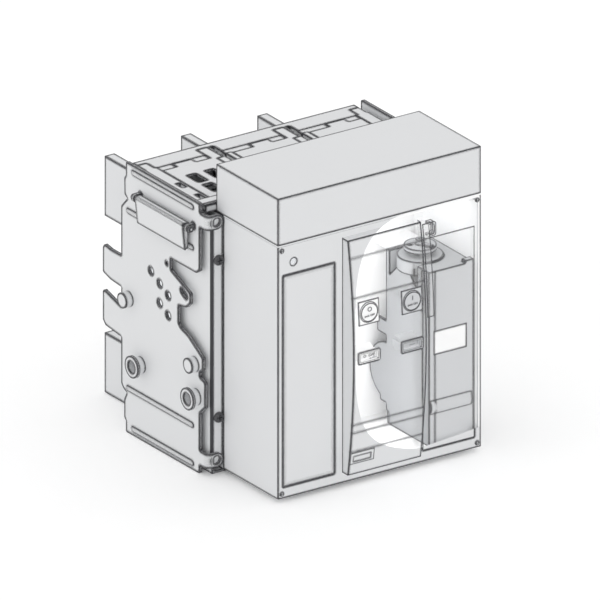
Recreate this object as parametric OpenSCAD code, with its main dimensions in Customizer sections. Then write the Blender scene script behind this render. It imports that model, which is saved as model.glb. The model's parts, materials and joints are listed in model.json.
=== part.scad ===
// Three-pole switch disconnector on a draw-out chassis.
// The frame has its origin at the centre of the four floor holes, on the underside.
// X runs to the right, Y to the back and Z up. Inside the modules Y is measured back
// from the face of the front cover, and place() moves each piece to the frame.

/* [Chassis] */
// Distance over the outer faces of the two side plates
chassis_w = 293; // [288:0.5:300]
// Height of the side plates
plate_h = 299; // [296:0.5:306]
// Thickness of the side plate steel
plate_t = 3.5; // [2.5:0.1:4]
// Front edge of the side plates, back from the cover face
plate_front_y = 111; // [110.5:0.5:113]
// Rear edge of the side plates, back from the cover face
plate_rear_y = 253.5; // [251:0.5:258]
// Reach of the two rear hooks behind the plate
hook_reach = 33.5; // [20:0.5:40]
// Height of each ear at the front edge
ear_h = 16; // [14:0.5:18]
// Height of the lower ear holes over the foot of the plate
ear_low_z = 17.3; // [16:0.1:20]
// Distance from the upper ear holes to the top of the plate
ear_top_drop = 18.5; // [17:0.1:22]
// Radius of the hole in each ear
ear_hole_r = 4.3; // [3:0.1:5]
// Width of a pressed bead
bead_w = 6; // [4:0.5:8]
// Height of a pressed bead over the plate
bead_rise = 1.2; // [0.6:0.1:1.6]
// Thickness of the inner plate and its front flange
inner_t = 2; // [1.5:0.1:2.4]
// Free width between the side plate and the inner plate
wall_gap = 4.3; // [3.5:0.1:5]
// Thickness of the floor sheet
floor_t = 2.5; // [1.5:0.1:3]
// Distance between the floor holes across the chassis
floor_hole_x = 220; // [180:1:230]
// Distance between the floor holes from front to back
floor_hole_y = 90; // [80:1:96]
// Radius of the floor holes
floor_hole_r = 4.5; // [3:0.1:6]

/* [Guide pins] */
// Radius of the flange on a flanged bush
bush_flange_r = 12; // [10:0.5:13]
// Radius of the bush barrel
bush_r = 9; // [8:0.1:9.5]
// Radius of the hole in a flanged bush
bush_hole_r = 6.4; // [4:0.1:7]
// How far a flanged bush stands out of the side plate
bush_len = 12; // [8:0.5:14]
// Radius of a plain pin outside the plate
pin_r = 8.4; // [7.5:0.1:9]
// How far a plain pin stands out of the side plate
pin_len = 9; // [6:0.5:12]
// Radius of the shank that is riveted through both plates
shank_r = 6.2; // [5:0.1:7]

/* [Rear base and copper] */
// Distance between the poles
pole_pitch = 94; // [90:0.5:96]
// Back face of the moulded rear base, back from the cover face
base_rear_y = 248; // [246:0.5:250]
// Thickness of the rear base
base_t = 24; // [20:0.5:28]
// Height of the top of the rear base
base_top_z = 294; // [292:0.5:297]
// Thickness of the connector blades
blade_t = 12; // [8:0.5:14]
// Height of the connector blades
blade_h = 66; // [56:1:70]
// Reach of the connector blades behind the rear base
blade_reach = 94; // [60:1:110]
// Lower edge of the upper connector blades
upper_blade_z = 196; // [190:0.5:200]
// Lower edge of the lower connector blades
lower_blade_z = 0.6; // [0.4:0.1:2]
// Width of the flat contact bars
bar_w = 42; // [34:1:44]
// Thickness of the flat contact bars
bar_t = 10; // [8:0.5:12]
// Number of contact fingers in one row
finger_count = 6; // [4:1:6]
// Thickness of a contact finger
finger_t = 5; // [3.5:0.1:6]

/* [Draw-out unit] */
// Width of the front cover
cover_w = 250; // [246:0.5:250.2]
// Depth of the front cover
cover_d = 99; // [95:0.5:99]
// Height of the front cover
cover_h = 280; // [272:0.5:280.4]
// Height of the cover's lower edge over the underside of the chassis
cover_z = 5; // [4:0.1:6]
// Wall of the front cover
cover_t = 3; // [2:0.1:3.5]
// Back face of the pole case, back from the cover face
case_rear_y = 216; // [212:0.5:218]
// Width of an arc chute
chute_w = 72; // [60:0.5:76]
// Height of an arc chute below its top face
chute_h = 46; // [40:1:47]
// Wall of the arc chute mouldings
chute_t = 3; // [2:0.1:4]
// Height of the slide channel in the guide tracks
track_h = 20; // [16:0.5:24]
// Running gap of the runners in the guide tracks
slide_gap = 0.35; // [0.3:0.01:0.5]

/* [Front] */
// Width of the clear fascia
fascia_w = 90; // [84:0.5:91]
// Height of the clear fascia
fascia_h = 260; // [250:0.5:262]
// How far the fascia stands out at its middle
fascia_mid = 21.3; // [18:0.1:24]
// How far the fascia stands out at its ends
fascia_end = 10.6; // [9:0.1:13]
// Wall of the fascia
fascia_t = 2.4; // [1.6:0.1:3]
// Width of the two front panels
panel_w = 64; // [56:0.5:64.5]
// Height of the two front panels
panel_h = 234; // [210:1:236]
// Radius of the on and off buttons
button_r = 10; // [7:0.1:10.5]
// Travel of the on and off buttons
button_travel = 4; // [2:0.1:5]
// Width of the charging handle
handle_w = 8.4; // [6:0.1:8.6]
// Radius of the pin that the charging handle turns on
handle_pin_r = 3; // [2:0.1:3.5]

/* [Gear motor] */
// Width of the gear motor housing
motor_w = 55; // [46:0.5:55.5]
// Depth of the gear motor housing at its top
motor_d = 78; // [70:0.5:80]
// Height of the gear motor housing
motor_h = 193; // [185:0.5:199]
// Radius of the motor can
can_r = 31; // [26:0.2:31.5]
// Radius of the drive wheel
wheel_r = 17; // [14:0.2:18]
// Thickness of the drive wheel
wheel_t = 5; // [3:0.1:6]

/* [Shield] */
// Height of the shield over the auxiliary terminals
shield_h = 52; // [46:0.5:60]
// Depth of the shield
shield_d = 112; // [108:0.5:112]
// Wall of the shield
shield_t = 1.6; // [1.2:0.1:1.8]

/* [Side grips] */
// Length of a side grip
grip_l = 87; // [70:0.5:90]
// Height of a side grip
grip_h = 30; // [24:0.5:32]
// Thickness of the side grip sheet
grip_t = 1.5; // [1:0.1:2]
// Radius of the rod that a side grip turns on
rod_r = 2.2; // [1.5:0.1:2.6]

/* [Hidden] */
$fn = 48;

// Small values that several pieces share
eps = 0.01;
seat = 0.3;
pin_gap = 0.05;
front_y = -165;

// Widths and places worked out from the sizes above
plate_x = chassis_w / 2;
plate_in_x = plate_x - plate_t;
inner_x = plate_in_x - wall_gap;
inner_in_x = inner_x - inner_t;
cover_x = cover_w / 2;
flange_edge_x = cover_x + 0.4;
case_x = cover_x - 0.6;
chute_edge_x = cover_x - shield_t - 1;
case_z = floor_t + 0.6;
cover_top_z = cover_z + cover_h;
case_top_z = cover_top_z - 0.4;
shield_z = cover_top_z + 0.4;
base_front_y = base_rear_y - base_t;
ear_top_z = plate_h - ear_top_drop;
ear_front_y = cover_d - 2.5;
flange_y = ear_front_y + plate_t;
ear_hole_x = flange_edge_x + 9.4;
floor_mid_y = -front_y;
strip_z = cover_top_z + 0.4;
strip_in_x = chute_edge_x + 0.6;
bar_upper_z = upper_blade_z + blade_h / 2;
bar_lower_z = lower_blade_z + blade_h / 2;
track_reach = 6.5;
grey = [0.87, 0.875, 0.88];
steel = [0.8, 0.81, 0.82];
dark = [0.2, 0.2, 0.21];
mid = [0.81, 0.815, 0.825];
copper = [0.84, 0.84, 0.84];
clear = [0.95, 0.96, 0.97, 0.35];

module place() { translate([0, front_y, 0]) children(); }

// A mirrored copy stands for the piece on the other side
module other_side() { mirror([1, 0, 0]) children(); }

// A bar between two corners
module block(x0, x1, y0, y1, z0, z1) {
    translate([x0, y0, z0]) cube([x1 - x0, y1 - y0, z1 - z0]);
}

// Round bars along X, Y and Z from a start point
module rod_x(x, y, z, r, l) { translate([x, y, z]) rotate([0, 90, 0]) cylinder(r = r, h = l); }
module rod_y(x, y, z, r, l) { translate([x, y, z]) rotate([-90, 0, 0]) cylinder(r = r, h = l); }
module rod_z(x, y, z, r, l) { translate([x, y, z]) cylinder(r = r, h = l); }

// A flat shape drawn in Y and Z, made thick along X from x
module slab_x(x, t) {
    translate([x, 0, 0]) rotate([90, 0, 90]) linear_extrude(t) children();
}

// Rectangle with round corners, between two corners
module round_rect(x0, x1, y0, y1, r) {
    translate([x0 + r, y0]) square([x1 - x0 - 2 * r, y1 - y0]);
    translate([x0, y0 + r]) square([x1 - x0, y1 - y0 - 2 * r]);
    for (x = [x0 + r, x1 - r], y = [y0 + r, y1 - r]) translate([x, y]) circle(r);
}

// Side plates

// Heights on the side plate are those of a plate this high, and follow the plate's own height
drawn_plate_h = 299;
up = plate_h / drawn_plate_h;
function tall(points) = [for (p = points) [p[0], p[1] * up]];

hook_top_z = 194;
hook_mid_z = 157;
hook_low_z = 141;
hook_foot_z = 101.8;
notch_floor_z = 130;
notch_roof_z = 220;
notch_depth = 38.6;
nose_reach = 10.2;
relief = 5.5;
relief_step = 3;
relief_top_z = 280;
relief_low_z = 15;

// Outline of a side plate in Y and Z
module plate_outline() {
    front = plate_front_y;
    rear = plate_rear_y;
    tip = rear + hook_reach;
    foot_z = notch_floor_z;
    offset(r = 2, $fn = 24) offset(delta = -4) offset(delta = 2) difference() {
        union() {
            translate([front, 0]) square([rear - front, plate_h]);
            // Upper and lower rear hooks
            polygon(tall([[rear - 1, hook_top_z - 2], [tip - 14, hook_top_z - 2],
                [tip - 3, hook_top_z], [tip, hook_top_z - 4], [tip, hook_mid_z + 5.5],
                [tip - 14, hook_mid_z + 1.5], [rear - 1, hook_mid_z]]));
            polygon(tall([[rear - 1, hook_low_z - 6.5], [tip - 2, hook_low_z + 2.5],
                [tip, hook_low_z], [tip, hook_foot_z + 8], [tip - 5, hook_foot_z + 3],
                [rear - 1, hook_foot_z]]));
            // Two noses on the front edge
            polygon(tall([[front + 1, 65.5], [front - nose_reach, 76],
                [front - nose_reach, 104], [front + 1, 107]]));
            polygon(tall([[front + 1, 112], [front - 6, 115.5], [front - 6, 130],
                [front + 1, 134]]));
        }
        // Notch in the front edge, with a tongue in it
        polygon(tall([[front - nose_reach, foot_z + 1], [front - 5, foot_z],
            [front + 21, foot_z + 15.6], [front + notch_depth - 4, foot_z + 19.5],
            [front + notch_depth, foot_z + 23], [front + notch_depth, foot_z + 43],
            [front + 24, foot_z + 45.5], [front + 17, foot_z + 52],
            [front + 17, foot_z + 63], [front + notch_depth + 14.5, foot_z + 77.3],
            [front + notch_depth + 14.5, notch_roof_z], [front + 6, notch_roof_z],
            [front - 1, notch_roof_z + 5], [front - nose_reach, notch_roof_z + 5]]));
        // Reliefs at the two ends of the rear edge
        polygon(tall([[rear + 1, 246], [rear - 2, 249.5], [rear - 11, 259], [rear - 6, 262],
            [rear - relief, relief_top_z], [rear - relief - relief_step, relief_top_z + 4],
            [rear - relief - relief_step, drawn_plate_h + 1], [rear + 1, drawn_plate_h + 1]]));
        polygon(tall([[rear + 1, 52], [rear - 3.6, 46.5], [rear - 10, 43.6],
            [rear - relief, 35], [rear - relief, relief_low_z],
            [rear - relief - relief_step, relief_low_z - 3],
            [rear - relief - relief_step, -1], [rear + 1, -1]]));
    }
}

// A pressed bead along Y, half round over the plate face
module bead(y0, y1, z) {
    bead_r = (pow(bead_w / 2, 2) + pow(bead_rise, 2)) / (2 * bead_rise);
    axis_x = -plate_x + bead_r - bead_rise;
    difference() {
        union() {
            rod_y(axis_x, y0 + bead_w / 2, z, bead_r, y1 - y0 - bead_w);
            for (y = [y0 + bead_w / 2, y1 - bead_w / 2]) translate([axis_x, y, z]) sphere(bead_r);
        }
        block(-plate_x + plate_t / 2, axis_x + 2 * bead_r, y0 - bead_r, y1 + bead_r,
            z - 2 * bead_r, z + 2 * bead_r);
    }
}

// An ear grows from the front edge, bends inwards and faces the front
module ear(z) {
    bend_r = plate_t + 3;
    tip_x = ear_hole_x - ear_h / 2 + 1;
    arm_x = plate_x - bend_r;
    block(-plate_x, -plate_in_x, ear_front_y + bend_r - eps, plate_front_y + 3,
        z - ear_h / 2, z + ear_h / 2);
    translate([-arm_x, ear_front_y + bend_r, z - ear_h / 2]) rotate([0, 0, 180])
        rotate_extrude(angle = 90) translate([bend_r - plate_t, 0]) square([plate_t, ear_h]);
    difference() {
        union() {
            block(-arm_x - eps, -ear_hole_x, ear_front_y, flange_y, z - ear_h / 2, z + ear_h / 2);
            rod_y(-ear_hole_x, ear_front_y, z, ear_h / 2, plate_t);
        }
        rod_y(-ear_hole_x, ear_front_y - 1, z, ear_hole_r, plate_t + 2);
    }
}

// Places of the drilled holes in the side plate: Y, Z and radius
plate_holes = [[171, 212, 2.2], [199.5, 193.6, 4.2], [183.6, 185.2, 4.2], [168.3, 177.2, 4.2],
    [183.6, 163.6, 4.2], [168.3, 155.2, 4.2]];
bush_places = tall([[217.5, 83.5], [116.5, 83.5]]);
pin_places = tall([[239.3, 149], [119.6, 118.5]]);
bead_y0 = plate_front_y + 10;
top_bead_y1 = 235;
mid_bead_y1 = 244;
end_bead_z = [7.3, plate_h - 8];
mid_bead_z = [49.5 * up, 246 * up];
rod_out = 6;
rod_x0 = plate_x + rod_out;
drawn_rod_z = 269.5;
rod_z0 = drawn_rod_z * up;
grip_y0 = 126.5;
grip_y1 = grip_y0 + grip_l;
lug_t = 5;
lug_gap = 2;
lug_wall = 2.3;
lug_places = [grip_y0 - lug_t - lug_gap, grip_y1 + lug_gap];

// A lug is lanced out of the plate and curls round the grip rod
module grip_lug(y) {
    difference() {
        union() {
            rod_y(-rod_x0, y, rod_z0, rod_r + lug_wall, lug_t);
            block(-rod_x0, -plate_x + plate_t / 2, y, y + lug_t, rod_z0 - 1,
                rod_z0 + rod_r + lug_wall);
        }
        rod_y(-rod_x0, y - 1, rod_z0, rod_r + pin_gap, lug_t + 2);
    }
}

module side_plate() {
    difference() {
        union() {
            slab_x(-plate_x, plate_t) plate_outline();
            for (z = [ear_low_z, ear_top_z]) ear(z);
            for (z = end_bead_z) bead(bead_y0, top_bead_y1, z);
            for (z = mid_bead_z) bead(bead_y0, mid_bead_y1, z);
            for (y = lug_places) grip_lug(y);
        }
        for (h = plate_holes) rod_x(-plate_x - 3, h[0], h[1] * up, h[2], plate_t + 6);
        for (p = concat(bush_places, pin_places))
            rod_x(-plate_x - 3, p[0], p[1], shank_r + pin_gap, plate_t + 6);
        slab_x(-plate_x - 3, plate_t + 6) lozenge();
    }
}

// The lozenge hole on the tongue in the notch
module lozenge() {
    half = 3.5;
    translate([plate_front_y + 28.6, (notch_floor_z + 59.7) * up]) rotate(28) {
        square(2 * half, center = true);
        for (s = [-1, 1]) translate([half * s, 0]) circle(half);
    }
}

module side_plate_left() { color(grey) place() side_plate(); }
module side_plate_right() { color(grey) place() other_side() side_plate(); }

// Inner plates, which the riveted pins hold to the side plates

inner_low_z = 10;
inner_top_z = strip_z - seat;
inner_bend_r = 0.6;

module inner_plate() {
    bend = inner_t + inner_bend_r;
    difference() {
        union() {
            translate([0, 0, inner_low_z]) linear_extrude(inner_top_z - inner_low_z) {
                translate([-inner_x, flange_y + bend]) square([inner_t, base_front_y - flange_y
                    - bend - seat]);
                translate([-inner_x + bend, flange_y])
                    square([inner_x - bend - flange_edge_x, inner_t]);
                intersection() {
                    translate([-inner_x, flange_y]) square(bend + eps);
                    translate([-inner_x + bend, flange_y + bend]) difference() {
                        circle(bend);
                        circle(bend - inner_t);
                    }
                }
            }
        }
        for (p = bush_places)
            rod_x(-inner_x - 1, p[0], p[1], shank_r + pin_gap, inner_t + 2);
        rod_x(-inner_x - 1, pin_places[1][0], pin_places[1][1], shank_r + pin_gap, inner_t + 2);
        for (z = flange_screw_z)
            rod_y(-flange_screw_x, flange_y - 1, z, flange_screw_r + pin_gap, inner_t + 2);
    }
}

flange_screw_z = [ear_low_z + 45.7, ear_top_z - 43.5];
flange_screw_r = 2.5;
flange_head_r = 5.7;
flange_head_h = 3.2;
nut_h = 3.5;
flange_screw_x = cover_x + 6;

module inner_plate_left() { color(grey) place() inner_plate(); }
module inner_plate_right() { color(grey) place() other_side() inner_plate(); }

// Pan head screws on the front flange, each with a nut behind
module flange_screws() {
    for (z = flange_screw_z) difference() {
        union() {
            translate([-flange_screw_x, flange_y, z]) rotate([90, 0, 0])
                rotate_extrude() pan_profile(flange_head_r, flange_head_h);
            rod_y(-flange_screw_x, flange_y - eps, z, flange_screw_r, inner_t + nut_h);
            translate([-flange_screw_x, flange_y + inner_t, z]) rotate([-90, 30, 0])
                cylinder(r = 1.44 * flange_screw_r, h = nut_h, $fn = 6);
        }
        // Cross recess in the head
        for (w = [[3.4, 0.6], [0.6, 3.4]]) block(-flange_screw_x - w[0], -flange_screw_x + w[0],
            flange_y - flange_head_h - 1, flange_y - flange_head_h + 1.6, z - w[1], z + w[1]);
    }
}

// Half section of a pan head, drawn to the right of its axis
module pan_profile(r, h) {
    square([r - h / 2, h]);
    square([r, h / 2]);
    translate([r - h / 2, h / 2]) intersection() {
        circle(h / 2);
        square(h / 2 + eps);
    }
}

module flange_screws_left() { color(dark) place() flange_screws(); }
module flange_screws_right() { color(dark) place() other_side() flange_screws(); }

// Turned pins and flanged bushes

rivet_head_r = shank_r + 1.6;
rivet_head_t = 1.4;
rivet_room = 0.6;
bush_flange_t = 3;

module riveted_pin(y, z, through) {
    head_x = through ? inner_in_x : plate_in_x;
    rod_x(-plate_x - eps, y, z, shank_r, plate_x - head_x + 2 * eps);
    if (through) {
        rod_x(-plate_in_x, y, z, rivet_head_r, wall_gap);
    }
    rod_x(-head_x, y, z, rivet_head_r, rivet_head_t);
}

module guide_pins() {
    for (p = bush_places) difference() {
        union() {
            riveted_pin(p[0], p[1], true);
            rod_x(-plate_x - bush_len, p[0], p[1], bush_r, bush_len);
            rod_x(-plate_x - bush_len, p[0], p[1], bush_flange_r, bush_flange_t);
        }
        rod_x(-plate_x - bush_len - 1, p[0], p[1], bush_hole_r, bush_len);
    }
    for (i = [0, 1]) {
        riveted_pin(pin_places[i][0], pin_places[i][1], i == 1);
        rod_x(-plate_x - pin_len, pin_places[i][0], pin_places[i][1], pin_r, pin_len);
    }
}

module guide_pins_left() { color(steel) place() guide_pins(); }
module guide_pins_right() { color(steel) place() other_side() guide_pins(); }

// Guide tracks, C sections on the inner plates that the runners slide in

track_lip = 3;
track_wall = 2;
track_front_gap = 4.5;
track_rear_gap = 2;
track_drop = 0.7;
track_z = bush_places[0][1] - rivet_head_r - track_h / 2 - track_lip - track_drop;

module guide_track() {
    back = inner_in_x - track_wall;
    edge = inner_in_x - track_reach;
    y0 = flange_y + inner_t + track_front_gap;
    y1 = base_front_y - track_rear_gap;
    difference() {
        block(-inner_in_x, -edge, y0, y1, track_z - track_h / 2 - track_lip,
            track_z + track_h / 2 + track_lip);
        block(-back, -edge + 1, y0 - 1, y1 + 1, track_z - track_h / 2, track_z + track_h / 2);
    }
}

module guide_track_left() { color(steel) place() guide_track(); }
module guide_track_right() { color(steel) place() other_side() guide_track(); }

// Floor, a folded tray with four fixing holes

floor_front_y = flange_y + inner_t + 1;
lip_h = 14;

module chassis_floor() {
    x1 = inner_in_x - seat;
    y1 = base_front_y - seat;
    color(grey) place() difference() {
        union() {
            block(-x1, x1, floor_front_y, y1, 0, floor_t);
            for (s = [-1, 1]) block(s < 0 ? -x1 : x1 - floor_t, s < 0 ? -x1 + floor_t : x1,
                floor_front_y, y1, 0, lip_h + inner_low_z);
        }
        for (x = [-1, 1], y = [-1, 1])
            rod_z(x * floor_hole_x / 2, floor_mid_y + y * floor_hole_y / 2, -1, floor_hole_r,
                floor_t + 2);
    }
}

// Rear base, a moulding with six openings that the contacts meet in

window_w = bar_w + 12;
window_h = 40;
tongue_y = base_rear_y - 9;
tongue_x = 31;
tongue_w = 12.4;
tongue_h = 8;
slot_x = -1;
slot_w = 5;
slot_h = 60;
shelf_drop = 0.8;
shelf_t = 7;
chute_tab_x = [-10.1, 12.7];
chute_tab_reach = 8;
chute_y1 = case_rear_y - 2;
strip_end_y = tongue_y;
strip_tail_x = cover_x + 0.3;

module rear_base() {
    color(grey) place() difference() {
        union() {
            block(-plate_in_x + seat, plate_in_x - seat, base_front_y, base_rear_y, 0.4,
                base_top_z - 13);
            block(-inner_in_x, inner_in_x, base_front_y, base_rear_y, base_top_z - 14,
                base_top_z);
            // Shelf that reaches forward over the back of the pole case
            block(-strip_in_x + seat, strip_in_x - seat, chute_y1 + seat, base_front_y + eps,
                base_top_z - shelf_drop - shelf_t, base_top_z - shelf_drop);
        }
        for (p = [-1, 0, 1]) {
            // Room for the rear tab of each arc chute
            block(p * pole_pitch + chute_tab_x[0] - seat, p * pole_pitch + chute_tab_x[1] + seat,
                chute_y1, chute_y1 + chute_tab_reach + seat, case_top_z, base_top_z + 1);
            for (z = [bar_upper_z, bar_lower_z]) {
                block(p * pole_pitch - window_w / 2, p * pole_pitch + window_w / 2,
                    base_front_y - 1, base_rear_y - 6, z - window_h / 2, z + window_h / 2);
                block(p * pole_pitch - bar_w / 2 - 0.1, p * pole_pitch + bar_w / 2 + 0.1,
                    base_front_y - 1, base_rear_y + 1, z - bar_t / 2 - 0.1, z + bar_t / 2 + 0.1);
            }
            for (z = [bar_upper_z, bar_lower_z], s = [-1, 1])
                rod_y(connector_bolt_x(p), base_rear_y - 10, z + s * bolt_drop, bolt_r + 0.1, 12);
        }
        for (s = [-0.5, 0.5]) {
            block(s * pole_pitch + slot_x, s * pole_pitch + slot_x + slot_w, chute_y1,
                tongue_y, base_top_z - slot_h, base_top_z + 1);
            // Room for the ridge between the poles
            block(s * pole_pitch - ridge_w / 2 - seat, s * pole_pitch + ridge_w / 2 + seat,
                chute_y1, case_rear_y + seat, case_top_z, base_top_z + 1);
        }
        // Notches for the tongues of the arc chutes
        for (p = [-1, 0])
            block(p * pole_pitch + tongue_x - seat, p * pole_pitch + tongue_x + tongue_w + seat,
                chute_y1, tongue_y + seat, base_top_z - tongue_h - seat, base_top_z + 1);
        // Notches for the rear ends of the top strips
        for (s = [0, 1]) mirror([s, 0, 0])
            block(-inner_in_x - 1, -strip_tail_x + seat, base_front_y - 1, strip_end_y + seat,
                strip_z - seat, base_top_z + 1);
        // Room for the rivet heads and collars of the pins
        for (s = [0, 1]) mirror([s, 0, 0]) {
            rod_x(-plate_in_x - 1, pin_places[0][0], pin_places[0][1], rivet_head_r + rivet_room, 3);
            rod_x(-plate_in_x - 1, bush_places[0][0], bush_places[0][1],
                rivet_head_r + rivet_room, 10);
        }
        // Ribs between the poles on the back face
        for (s = [-0.5, 0.5], i = [-1, 1])
            block(s * pole_pitch + i * 5 - 1.5, s * pole_pitch + i * 5 + 1.5, base_rear_y - 3,
                base_rear_y + 1, 90, 170);
    }
}

// Top strips, which close the gap between the unit and the side plates

strip_slot_y = [130.3, 165];
strip_slot_l = 13;
strip_slot_w = 5.5;

module top_strip() {
    difference() {
        union() {
            block(-plate_in_x + seat, -strip_in_x, plate_front_y + 2, base_front_y - seat,
                strip_z, strip_z + 2);
            block(-inner_x + 1, -strip_in_x, plate_front_y + 2, base_front_y - seat,
                strip_z, base_top_z);
            block(-inner_in_x + seat, -strip_tail_x, base_front_y - 1, strip_end_y,
                strip_z, base_top_z);
        }
        for (y = strip_slot_y)
            block(-strip_tail_x - strip_slot_w, -strip_tail_x, y, y + strip_slot_l,
                strip_z + 2, base_top_z + 1);
    }
}

module top_strip_left() { color(grey) place() top_strip(); }
module top_strip_right() { color(grey) place() other_side() top_strip(); }

// Connectors, an L section each: a root plate on the base and a blade to the back

connector_root_t = 10;
bolt_r = 4;
bolt_drop = blade_h / 2 - 8;
blade_shift = 7;
root_w = 40;

function connector_bolt_x(p) = p * pole_pitch - blade_shift + blade_t / 2 + 14;

module connector(p, z0) {
    x0 = p * pole_pitch - blade_shift - blade_t / 2;
    bar_z = z0 == upper_blade_z ? bar_upper_z : bar_lower_z;
    difference() {
        union() {
            translate([0, 0, z0]) linear_extrude(blade_h) {
                translate([x0, base_rear_y]) square([root_w, connector_root_t]);
                translate([x0, base_rear_y]) square([blade_t, blade_reach]);
                translate([x0 + blade_t, base_rear_y + connector_root_t]) difference() {
                    square(4);
                    translate([4, 4]) circle(4);
                }
            }
            block(p * pole_pitch - bar_w / 2, p * pole_pitch + bar_w / 2, base_front_y + 4,
                base_rear_y + eps, bar_z - bar_t / 2, bar_z + bar_t / 2);
        }
        for (s = [-1, 1]) rod_y(connector_bolt_x(p), base_rear_y - 1, bar_z + s * bolt_drop,
            bolt_r + 0.1, connector_root_t + 2);
    }
}

module upper_connector_left() { color(copper) place() connector(-1, upper_blade_z); }
module upper_connector_centre() { color(copper) place() connector(0, upper_blade_z); }
module upper_connector_right() { color(copper) place() connector(1, upper_blade_z); }
module lower_connector_left() { color(copper) place() connector(-1, lower_blade_z); }
module lower_connector_centre() { color(copper) place() connector(0, lower_blade_z); }
module lower_connector_right() { color(copper) place() connector(1, lower_blade_z); }

// Hexagon bolts that hold the connector roots
module connector_bolts() {
    color(steel) place() for (p = [-1, 0, 1], z = [bar_upper_z, bar_lower_z], s = [-1, 1]) {
        rod_y(connector_bolt_x(p), base_rear_y - 9.5, z + s * bolt_drop, bolt_r,
            connector_root_t + 9.6);
        translate([connector_bolt_x(p), base_rear_y + connector_root_t, z + s * bolt_drop])
            rotate([-90, 0, 0]) {
                cylinder(r = 1.9 * bolt_r, h = 1.2);
                translate([0, 0, 1.1]) cylinder(r = 1.6 * bolt_r, h = 5, $fn = 6);
            }
    }
}

// Jaw contacts: two rows of sprung fingers grip the flat bars

finger_gap = 0.3;
finger_front_y = base_front_y - 26;
finger_rear_y = base_front_y + 16;

module finger(x, z, w) {
    tip = finger_t / 2;
    translate([x - w / 2, 0, 0]) rotate([90, 0, 90]) linear_extrude(w) {
        translate([finger_front_y + tip, z]) square([finger_rear_y - finger_front_y - 2 * tip,
            finger_t]);
        for (y = [finger_front_y + tip, finger_rear_y - tip]) translate([y, z + tip]) circle(tip);
    }
}

module jaw_set(p, z) {
    pitch = bar_w / finger_count;
    for (i = [0 : finger_count - 1]) {
        x = p * pole_pitch + (i - (finger_count - 1) / 2) * pitch;
        finger(x, z + bar_t / 2 + finger_gap, pitch - 1.2);
        finger(x, z - bar_t / 2 - finger_gap - finger_t, pitch - 1.2);
    }
    // The cage holds the two rows together behind the unit
    cage_z = bar_t / 2 + finger_gap + finger_t;
    difference() {
        block(p * pole_pitch - bar_w / 2 - 3, p * pole_pitch + bar_w / 2 + 3, base_front_y + 5,
            base_front_y + 12, z - cage_z - 3, z + cage_z + 3);
        block(p * pole_pitch - bar_w / 2 - 0.2, p * pole_pitch + bar_w / 2 + 0.2,
            base_front_y + 4, base_front_y + 13, z - cage_z + finger_t - finger_gap,
            z + cage_z - finger_t + finger_gap);
    }
}

module upper_jaws() { color(steel) place() for (p = [-1, 0, 1]) jaw_set(p, bar_upper_z); }
module lower_jaws() { color(steel) place() for (p = [-1, 0, 1]) jaw_set(p, bar_lower_z); }

// Bracket over the unit, with the terminal block and the shield on it

bracket_z = base_top_z + 1;
bracket_t = 2;
bracket_tongue_x = 95;
post_r = 4;
post_y = 24;

module shield_bracket() {
    y0 = shield_d + 0.5;
    y1 = shield_d + 13;
    color(steel) place() {
        block(-plate_in_x, plate_in_x, y0, y1, bracket_z, bracket_z + bracket_t);
        for (s = [0, 1]) mirror([s, 0, 0])
            block(-plate_in_x, -plate_in_x + bracket_t, y0, y1, bracket_z - 6, bracket_z + eps);
        block(-bracket_tongue_x, bracket_tongue_x, 14, y0 + 1, bracket_z, bracket_z + bracket_t);
        for (s = [-1, 1]) rod_z(s * (bracket_tongue_x - 8), post_y, bracket_z + bracket_t - eps,
            post_r, shield_z + shield_h - shield_t - bracket_z - bracket_t);
    }
}

module terminal_shield() {
    color(grey) place() difference() {
        block(-cover_x, cover_x, 0, shield_d, shield_z, shield_z + shield_h);
        block(-cover_x + shield_t, cover_x - shield_t, shield_t, shield_d + 1, shield_z - 1,
            shield_z + shield_h - shield_t);
    }
}

terminal_pitch = 9;
terminal_count = 12;

module terminal_block() {
    z0 = bracket_z + bracket_t;
    half = terminal_pitch * terminal_count / 2;
    color([0.7, 0.71, 0.72]) place() difference() {
        union() {
            block(-half, half, 48, 92, z0, z0 + 14);
            block(-half, half, 58, 82, z0 + 13, z0 + 26);
        }
        for (i = [0 : terminal_count - 1]) {
            x = -half + (i + 0.5) * terminal_pitch;
            for (y = [53, 87]) rod_z(x, y, z0 + 6, 2.6, 10);
            block(x + terminal_pitch / 2 - 0.4, x + terminal_pitch / 2 + 0.4, 47, 93, z0 + 9,
                z0 + 27);
        }
    }
}

// Side grips, folded sheet panels on a rod

grip_out = 4.6;
grip_rise = 4.2;
grip_lean = 3;
grip_fold = 2;
grip_inset = 0.5;
grip_back = 3;
grip_end_drop = 6;
grip_end_foot = 3.5;
washer_t = 1.5;
washer_gap = 1;
rod_end = washer_t;
grip_x = rod_x0 + grip_out;

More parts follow.
